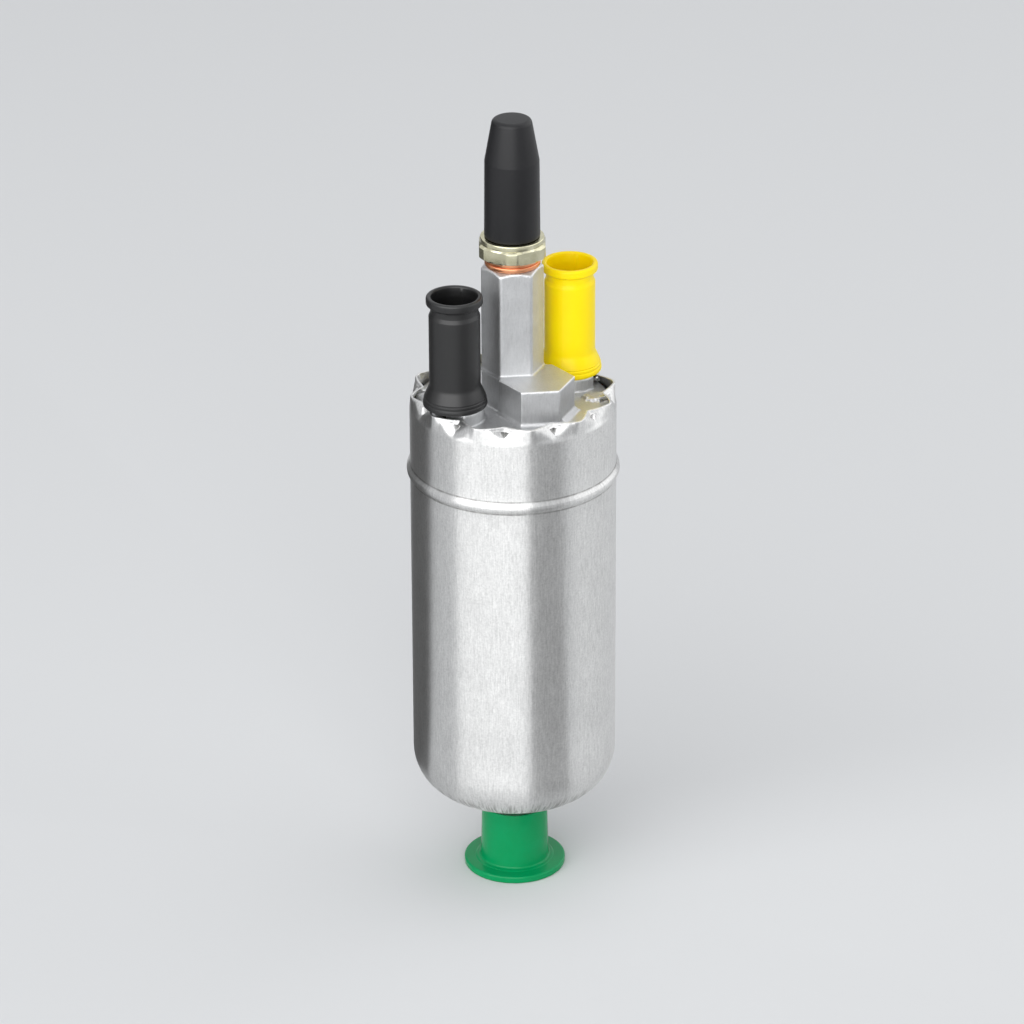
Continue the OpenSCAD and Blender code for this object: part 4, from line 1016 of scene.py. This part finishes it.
@dataclass
class TerminalBoot(Assembly):
    """A slip-on boot: belled foot, plain tube, shoulder, groove and a rolled lip, with a moulding seam inside."""

    name: str
    node: str
    body: str
    wall: float = 1.0
    tube_r: float = 7.4
    neck_r: float = 6.9
    lip_r: float = 8.15
    seam: float = 0.12
    seam_half: float = 0.25
    parting: float = 35.0
    row: float = 1.5
    crease: float = 60.0

    def build(self) -> None:
        """Builds the boot."""
        room = Room.of(self.node)
        bell_r, bore_r, tube_r = room.r, self.tube_r - self.wall, self.tube_r
        bell_bore_r = bell_r - self.wall - 0.2
        outline = rounded([
            *stack(room.foot, (bell_bore_r, 0, 0.3), (bell_r - 0.1, 0, 0.5), (bell_r, 0.9, 0.6),
                   (bell_r - 0.1, 1.5, 0.2), (bell_r - 0.36, 1.7, 0.1), (bell_r - 0.2, 1.95, 0.15),
                   (bell_r - 0.25, 2.5, 0.2), (bell_r - 0.52, 2.7, 0.1), (bell_r - 0.42, 3.0, 0.3),
                   (tube_r, 6.3, 3.0)),
            *stack(room.top, (tube_r, -6.0, 0.5), (self.neck_r, -4.9, 0.4), (self.neck_r, -3.0, 1.0),
                   (self.lip_r, -2.3, 0.6), (self.lip_r, 0, 1.3), (bore_r + 0.3, 0, 0.6), (bore_r, -3.0, 1.0)),
            *stack(room.foot, (bore_r, 5.8, 1.5), (bell_bore_r, 2.2, 0.6)),
        ], closed=True, steps=8)

        def seam(angle: np.ndarray, r: np.ndarray, z: np.ndarray) -> Moved:
            """Raises the two parting lines inside the bore and, more faintly, outside."""
            off = (angle - math.radians(self.parting) + math.pi / 2) % math.pi - math.pi / 2
            line = self.seam * np.exp(-(off * tube_r / self.seam_half) ** 2)
            return r + line * np.where(r < bore_r + 0.25, -1, 0.2), z

        piece = lathe(self.name, finer(outline, self.row, closed=True), closed=True, centre=room.centre, bend=seam,
                      crease=self.crease)
        self.settle(piece, self.node)


@dataclass
class InletCap(Assembly):
    """The green inlet cap: closed flange that the pump stands on, faint ring at its foot, slightly drawn-in body."""

    body: str = "inlet_cap"
    flange_t: float = 2.2
    base_r: float = 10.5
    wall: float = 0.75
    bore_r: float = 9.0

    def build(self) -> None:
        """Builds the cap."""
        room, base_r = Room.of("inlet_cap"), self.base_r
        outline = rounded([
            *stack(0, (0, 0), (room.r, 0, 0.5)),
            *stack(self.flange_t, (room.r, 0, 0.6), (base_r + 1.2, 0, 0.5), (base_r + 0.9, 0.2, 0.5),
                   (base_r - 0.25, 0.3, 2.2), (base_r - 0.45, 5.5, 4.0)),
            *stack(room.top, (self.bore_r + self.wall, 0, 0.25), (self.bore_r, 0, 0.25)),
            *stack(self.flange_t, (base_r - self.wall - 0.3, 0, 0.5), (0, 0)),
        ], closed=False, steps=8)
        self.settle(lathe("green_inlet_cap", outline, closed=False, segments=160), "inlet_cap")


@dataclass
class OutletCap(Assembly):
    """The black outlet cap: a tube that narrows to a rounded flat tip."""

    body: str = "outlet_cap"
    wall: float = 1.05
    cone_h: float = 12.6
    end_t: float = 2.2
    tip_r: float = 5.5

    def build(self) -> None:
        """Builds the cap."""
        room = Room.of("outlet_cap")
        bore_r = room.r - self.wall
        outline = rounded([
            *stack(room.top, (0, -self.end_t), (self.tip_r - self.wall, -self.end_t, 0.5),
                   (bore_r, -self.cone_h, 1.0)),
            *stack(room.foot, (bore_r, 0, 0.3), (room.r, 0, 0.35)),
            *stack(room.top, (room.r - 0.2, -self.cone_h, 1.4), (self.tip_r + 0.1, 0, 1.5), (0, 0)),
        ], closed=False, steps=10)
        self.settle(lathe("outlet_cap_black", outline, closed=False, segments=160), "outlet_cap")


@dataclass
class SealingWasher(Assembly):
    """The folded copper ring: two rolled layers with a dark seam between them."""

    bore_r: float = 6.15
    seam_depth: float = 0.5
    uneven: float = 0.05

    def build(self) -> None:
        """Builds the ring."""
        room = Room.of("copper_washer")
        outline = rounded([
            *stack(room.foot, (self.bore_r, 0, 0.4), (room.r, 0, 0.6)),
            *stack((room.foot + room.top) / 2, (room.r, -0.1, 0.45), (room.r - self.seam_depth, 0, 0.02),
                   (room.r, 0.1, 0.45)),
            *stack(room.top, (room.r, 0, 0.6), (self.bore_r, 0, 0.4)),
        ], closed=True, steps=7)

        def press(angle: np.ndarray, r: np.ndarray, z: np.ndarray) -> Moved:
            """Lets the pressed edge run slightly unevenly."""
            return r - self.uneven * (1 + np.sin(3 * angle + 0.7)) * (r > room.r - 1), z

        piece = lathe("copper_ring", outline, closed=True, segments=160, bend=press)
        self.settle(piece, "copper_washer")


@dataclass
class CheckValve(Assembly):
    """The outlet check valve: hexagon with turned corners, round collar, cap grip and threaded stud."""

    thread_r: float = 6.0
    pitch: float = 1.5
    flats: float = 19.0
    flat_turn: float = 23.0
    flat_edge: float = 0.3
    hex_h: float = 4.1
    hex_crease: float = 22.0
    collar_r: float = 9.25
    grip_r: float = 6.7
    grip_h: float = 3.2
    bore_r: float = 3.6
    port_r: float = 2.4
    stop_r: float = 4.0

    def cut(self, mesh: bpy.types.Mesh, low: float, high: float) -> None:
        """Cuts the turned body down to a hexagon between two heights, with softened edges.

        Args:
            mesh: The body's mesh.
            low: Lowest height that is cut.
            high: Highest height that is cut.
        """
        half, part = self.flats / 2, math.pi / 6
        soft = half / math.cos(part) - self.flat_edge * (1 / math.cos(part) - 1) * 4
        for vertex in mesh.vertices:
            x, y, z = (value / MM for value in vertex.co)
            off = (math.atan2(y, x) - math.radians(self.flat_turn) + part) % (2 * part) - part
            share = min(half / math.cos(off), soft) / math.hypot(x, y)
            if low - TOUCH <= z <= high + TOUCH and share < 1:
                vertex.co.x, vertex.co.y = x * share * MM, y * share * MM
        mesh.set_sharp_from_angle(angle=math.radians(self.hex_crease))

    def build(self) -> None:
        """Builds the valve body."""
        room, hex_z, cap_z = Room.of("valve_body"), Room.of("copper_washer").top, Room.of("outlet_cap").foot - 0.2
        collar_z, half, stud_r = hex_z + self.hex_h, self.flats / 2, self.thread_r - 0.1
        thread = Thread(self.thread_r, self.pitch, cap_z + self.grip_h + 1.2, room.top - 0.6)
        outline = rounded([
            *stack(room.foot, (self.port_r, 0, 0.2), (stud_r, 0, 0.5)),
            *stack(hex_z, (stud_r, 0), (half, 0, 0.15), (half + 0.7, 0.45, 0.2)),
            *stack(collar_z, (half + 0.7, -0.55, 0.2), (half - 0.3, 0, 0.15), (self.collar_r, 0, 0.1)),
            *stack(cap_z, (self.collar_r, 0, 0.35), (self.grip_r, 0, 0.15), (self.grip_r, self.grip_h, 0.2),
                   (self.thread_r, self.grip_h + 0.6, 0.1)),
            *stack(room.top, (self.thread_r, -1.0), (self.thread_r - 1.0, 0, 0.15), (self.stop_r, 0, 0.15),
                   (self.stop_r, -4.0), (self.bore_r, -4.0)),
            *stack(hex_z + 0.9, (self.bore_r, 1.2, 0.2), (self.port_r, 0)),
        ], closed=True, steps=5)
        piece = lathe("check_valve", thread.split(outline, closed=True), closed=True, bend=thread.bend,
                      crease=THREAD_CREASE)
        self.cut(piece.data, hex_z, collar_z - 0.02)
        self.settle(piece, "valve_body")


@dataclass
class InletFitting(Assembly):
    """The inlet: threaded spigot, undercut, collar and the flange inside the can."""

    pitch: float = 1.5
    thread_r: float = 8.0
    thread_l: float = 13.0
    collar_r: float = 8.7
    shoulder_r: float = 9.5
    flange_t: float = 4.0
    bore_r: float = 5.0

    def build(self) -> None:
        """Builds the fitting."""
        room, cap_z, can_z = Room.of("inlet_fitting"), Room.of("inlet_cap").top + 0.25, Room.of("can").foot - 0.2
        neck_r, thread_top = self.thread_r - 1, room.foot + self.thread_l
        thread = Thread(self.thread_r, self.pitch, room.foot + 0.6, thread_top - 0.4)
        outline = rounded([
            *stack(room.foot, (self.bore_r, 0, 0.3), (neck_r, 0, 0.15), (self.thread_r, 1)),
            *stack(thread_top, (self.thread_r, 0), (neck_r, 0.3, 0.2), (neck_r, 2, 0.3), (self.collar_r, 2, 0.3)),
            *stack(cap_z, (self.collar_r, 0, 0.1), (self.shoulder_r, 0.5, 0.2)),
            *stack(can_z, (self.shoulder_r, 0, 0.2), (self.collar_r, 0, 0.1)),
            *stack(room.top, (self.collar_r, -self.flange_t, 0.3), (room.r, -self.flange_t, 0.3), (room.r, 0, 0.3),
                   (self.bore_r, 0, 0.3)),
        ], closed=True, steps=4)
        piece = lathe("inlet_spigot", thread.split(outline, closed=True), closed=True, bend=thread.bend,
                      crease=THREAD_CREASE)
        self.settle(piece, "inlet_fitting")


@dataclass
class TerminalStud(Assembly):
    """A terminal stud: head, plain shank through the cover, and a rolled thread above the nut."""

    name: str
    node: str
    r: float
    pitch: float
    root: float = 0.8
    head_h: float = 2.4
    thread_l: float = 11.4

    def build(self) -> None:
        """Builds the stud."""
        room, shank_r = Room.of(self.node), self.r * self.root
        thread = Thread(self.r, self.pitch, room.top - self.thread_l, room.top - 0.2)
        outline = rounded([
            *stack(room.foot, (0, 0), (room.r, 0, 0.4), (room.r, self.head_h, 0.3), (shank_r, self.head_h, 0.2)),
            *stack(room.top, (shank_r, -self.thread_l), (self.r, -self.thread_l), (self.r, -0.6),
                   (self.r - 0.6, 0, 0.15), (0, 0)),
        ], closed=False, steps=4)
        piece = lathe(self.name, thread.split(outline, closed=False), closed=False, segments=96,
                      centre=room.centre, bend=thread.bend, crease=THREAD_CREASE)
        self.settle(piece, self.node)


@dataclass
class CoilSpring(Assembly):
    """A wound spring that fills its node's room at rest."""

    name: str
    node: str
    joint: str
    travel: float
    turns: int
    top_fixed: bool = True
    wire_r: float = 0.3
    rings: int = 32
    sides: int = 10

    def build(self) -> None:
        """Winds the spring on the node's own axis."""
        room, ring, count = Room.of(self.node), self.sides, self.turns * self.rings
        length = room.top - room.foot
        along = np.repeat(np.arange(count + 1) / self.rings, ring)
        around = np.tile(np.arange(ring) * math.tau / ring, count + 1)
        r, turn = room.r - self.wire_r + self.wire_r * np.cos(around), along * math.tau
        rise = (length - 2 * self.wire_r) / self.turns * along
        vertices = np.column_stack([room.centre[0] + r * np.cos(turn), room.centre[1] + r * np.sin(turn),
                                    room.foot + self.wire_r + rise + self.wire_r * np.sin(around)])
        faces: list[Sequence[int]] = [list(range(ring))[::-1], [count * ring + k for k in range(ring)]]
        for i in range(count):
            for k in range(ring):
                a, b = i * ring + k, i * ring + (k + 1) % ring
                faces.append((a, b, b + ring, a + ring))
        piece = mesh_object(self.name, vertices, faces)
        self.settle(piece, self.node)
        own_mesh(piece)


@dataclass
class PlainNodes(Assembly):
    """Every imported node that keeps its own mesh, with a finish in place of its plain colour."""

    def build(self) -> None:
        """Dresses the nodes that nothing stands for."""
        for name, piece in frame["nodes"].items():
            if piece.hide_render:
                continue
            for place in piece.material_slots:
                place.material = finish_of(name).material()
            LOG.info("%s keeps its own form, in %s", name, SLOTS[name])


# Studio

PAPER_ROUGH = 0.9


def facing(turn: float, lift: float) -> Vector:
    """Direction from the pump at an angle round it (0 is -Y, growing towards +X) and an angle over the floor."""
    a, e = math.radians(turn), math.radians(lift)
    return Vector((math.sin(a) * math.cos(e), -math.cos(a) * math.cos(e), math.sin(e)))


@dataclass(frozen=True)
class Softbox:
    """A large soft lamp that faces the pump, placed by its angles round it."""

    name: str
    turn: float
    lift: float
    distance: float
    width: float
    height: float
    radiance: float

    def build(self, aim: Vector) -> None:
        """Hangs the lamp.

        Args:
            aim: The point that it faces.
        """
        lamp = bpy.data.lights.new(self.name, "AREA")
        lamp.shape = "RECTANGLE"
        lamp.size, lamp.size_y = self.width, self.height
        lamp.energy = self.radiance * math.pi * self.width * self.height
        placed = add_object(self.name, lamp)
        placed.location = aim + facing(self.turn, self.lift) * self.distance
        placed.rotation_euler = (aim - placed.location).to_track_quat("-Z", "Y").to_euler()
        placed.visible_camera = False


@dataclass(frozen=True)
class Flag:
    """A dark card on the floor, a sector of a ring that turns up at its outer edge; only reflections show it."""

    name: str
    turn: float
    half: float
    inner: float
    outer: float
    height: float
    shade: float
    lift: float = 0.001
    divisions: int = 12

    def build(self) -> None:
        """Cuts and lays the card."""
        turns = np.linspace(self.turn - self.half, self.turn + self.half, self.divisions + 1)
        rows = ((self.inner, self.lift), (self.outer, self.lift), (self.outer, self.height))
        places = [facing(turn, 0) * r + Vector((0, 0, z)) for turn in turns for r, z in rows]
        faces = [(3 * a + k, 3 * a + k + 1, 3 * a + k + 4, 3 * a + k + 3)
                 for a in range(self.divisions) for k in range(2)]
        mesh = bpy.data.meshes.new(self.name)
        mesh.from_pydata(places, [], faces)
        made, _, _ = new_material(self.name + "_paper", Base_Color=(*[self.shade] * 3, 1.0), Roughness=PAPER_ROUGH,
                                  Specular_IOR_Level=0.0)
        mesh.materials.append(made)
        card = add_object(self.name, mesh)
        card.visible_camera = card.visible_diffuse = card.visible_shadow = False


@dataclass
class Studio:
    """Plain pale floor, pale surroundings, soft lamps, and the camera at the photograph's angle."""

    view_turn: float = -36.9
    view_lift: float = 25.506
    view_distance: float = 1.571
    lens: float = 189.15
    sensor: float = 36.0
    aim_z: float = 0.1159
    shift_x: float = -0.001335
    roll: float = -0.2367
    floor_size: float = 16.0
    far_from: float = 1.6
    far_glow: Colour = (0.526, 0.53, 0.538)
    floor_colour: Colour = (0.68, 0.69, 0.70)
    surround: Colour = (0.84, 0.85, 0.87)
    surround_light: float = 0.5

    def build(self) -> None:
        """Builds lamps, the dark cards that give the bright metal its dark bands, floor, surroundings and camera."""
        aim, t = Vector((0, 0, self.aim_z)), self.view_turn
        for lamp in (Softbox("key_softbox", t - 24, 22, 3.0, 4.9, 4.25, 2.45),
                     Softbox("right_softbox", t + 104, 20, 3.0, 4.64, 3.27, 0.8),
                     Softbox("top_softbox", t + 150, 74, 1.5, 1.4, 1.4, 0.7)):
            lamp.build(aim)
        for flag in (Flag("left_flag", t - 127, 27, 0.07, 0.6, 0.45, 0.13),
                     Flag("right_flag", t + 37, 20, 0.07, 0.55, 0.0, 0.27)):
            flag.build()
        self.floor()
        self.surroundings()
        self.camera(aim)
        bpy.context.scene.view_settings.view_transform = "Standard"

    def floor(self) -> None:
        """Lays the floor, which fades into the surroundings far from the pump."""
        half = self.floor_size / 2
        mesh = bpy.data.meshes.new("studio_floor")
        mesh.from_pydata([(-half, -half, 0), (half, -half, 0), (half, half, 0), (-half, half, 0)], [], [(0, 1, 2, 3)])
        made, wiring, surface = new_material(
            "studio_floor_paper", Base_Color=(*self.floor_colour, 1.0), Roughness=PAPER_ROUGH,
            Specular_IOR_Level=0.1, Emission_Color=(*self.far_glow, 1.0))
        far = wiring.spread(wiring.radius(*wiring.axes()[:2]), 0, 1, self.far_from, half)
        seen = wiring.node("ShaderNodeLightPath").outputs["Is Camera Ray"]
        wiring.set(surface, Emission_Strength=wiring.maths("MULTIPLY", far, seen))
        mesh.materials.append(made)
        add_object("studio_floor", mesh)

    def surroundings(self) -> None:
        """Sets the pale surroundings: full strength to the eye and in reflections, lower as a light."""
        world = bpy.data.worlds.new("studio_surround")
        bpy.context.scene.world = world
        world.use_nodes = True
        wiring = Wiring(world.node_tree)
        path = wiring.node("ShaderNodeLightPath").outputs
        seen = wiring.maths("MAXIMUM", path["Is Camera Ray"], path["Is Glossy Ray"])
        seen = wiring.maths("MAXIMUM", seen, path["Is Transmission Ray"])
        wiring.set(world.node_tree.nodes["Background"], Color=(*self.surround, 1.0),
                   Strength=wiring.spread(seen, self.surround_light, 1.0))

    def camera(self, aim: Vector) -> None:
        """Sets the camera where the photograph was taken from.

        Args:
            aim: The point that it looks at.
        """
        data = bpy.data.cameras.new("photo_camera")
        data.lens, data.sensor_width, data.shift_x, data.clip_end = self.lens, self.sensor, self.shift_x, 50
        camera = add_object("photo_camera", data)
        camera.location = aim + facing(self.view_turn, self.view_lift) * self.view_distance
        look = (aim - camera.location).to_track_quat("-Z", "Y").to_matrix().to_4x4()
        camera.rotation_euler = (look @ Matrix.Rotation(math.radians(self.roll), 4, "Z")).to_euler()
        bpy.context.scene.camera = camera


def main() -> None:
    """Builds the studio and every sub-assembly in order."""
    logging.basicConfig(level=logging.INFO, format="%(name)s: %(message)s")
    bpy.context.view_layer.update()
    Studio().build()
    assemblies: list[Assembly] = [
        DrawnCan(),
        CastCover(),
        TerminalBoot("yellow_boot", "boot_yellow", "boot_yellow"),
        TerminalBoot("black_boot", "boot_black", "boot_black"),
        InletFitting(),
        InletCap(),
        SealingWasher(),
        CheckValve(),
        OutletCap(),
        TerminalStud("threaded_stud_a", "terminal_stud_a", 3.0, 1.0),
        TerminalStud("threaded_stud_b", "terminal_stud_b", 2.5, 0.8),
        CoilSpring("valve_coil", "valve_spring", "valve_lift", 3.0, 7),
        CoilSpring("relief_coil", "relief_spring", "relief_lift", 1.5, 7, top_fixed=False),
        CoilSpring("brush_coil_left", "brush_spring_left", "brush_left_slide", 2.0, 5),
        CoilSpring("brush_coil_right", "brush_spring_right", "brush_right_slide", 2.0, 5),
        PlainNodes(),
    ]
    for assembly in assemblies:
        assembly.build()
        LOG.info("%s is built", type(assembly).__name__)


if __name__ == "__main__":
    main()
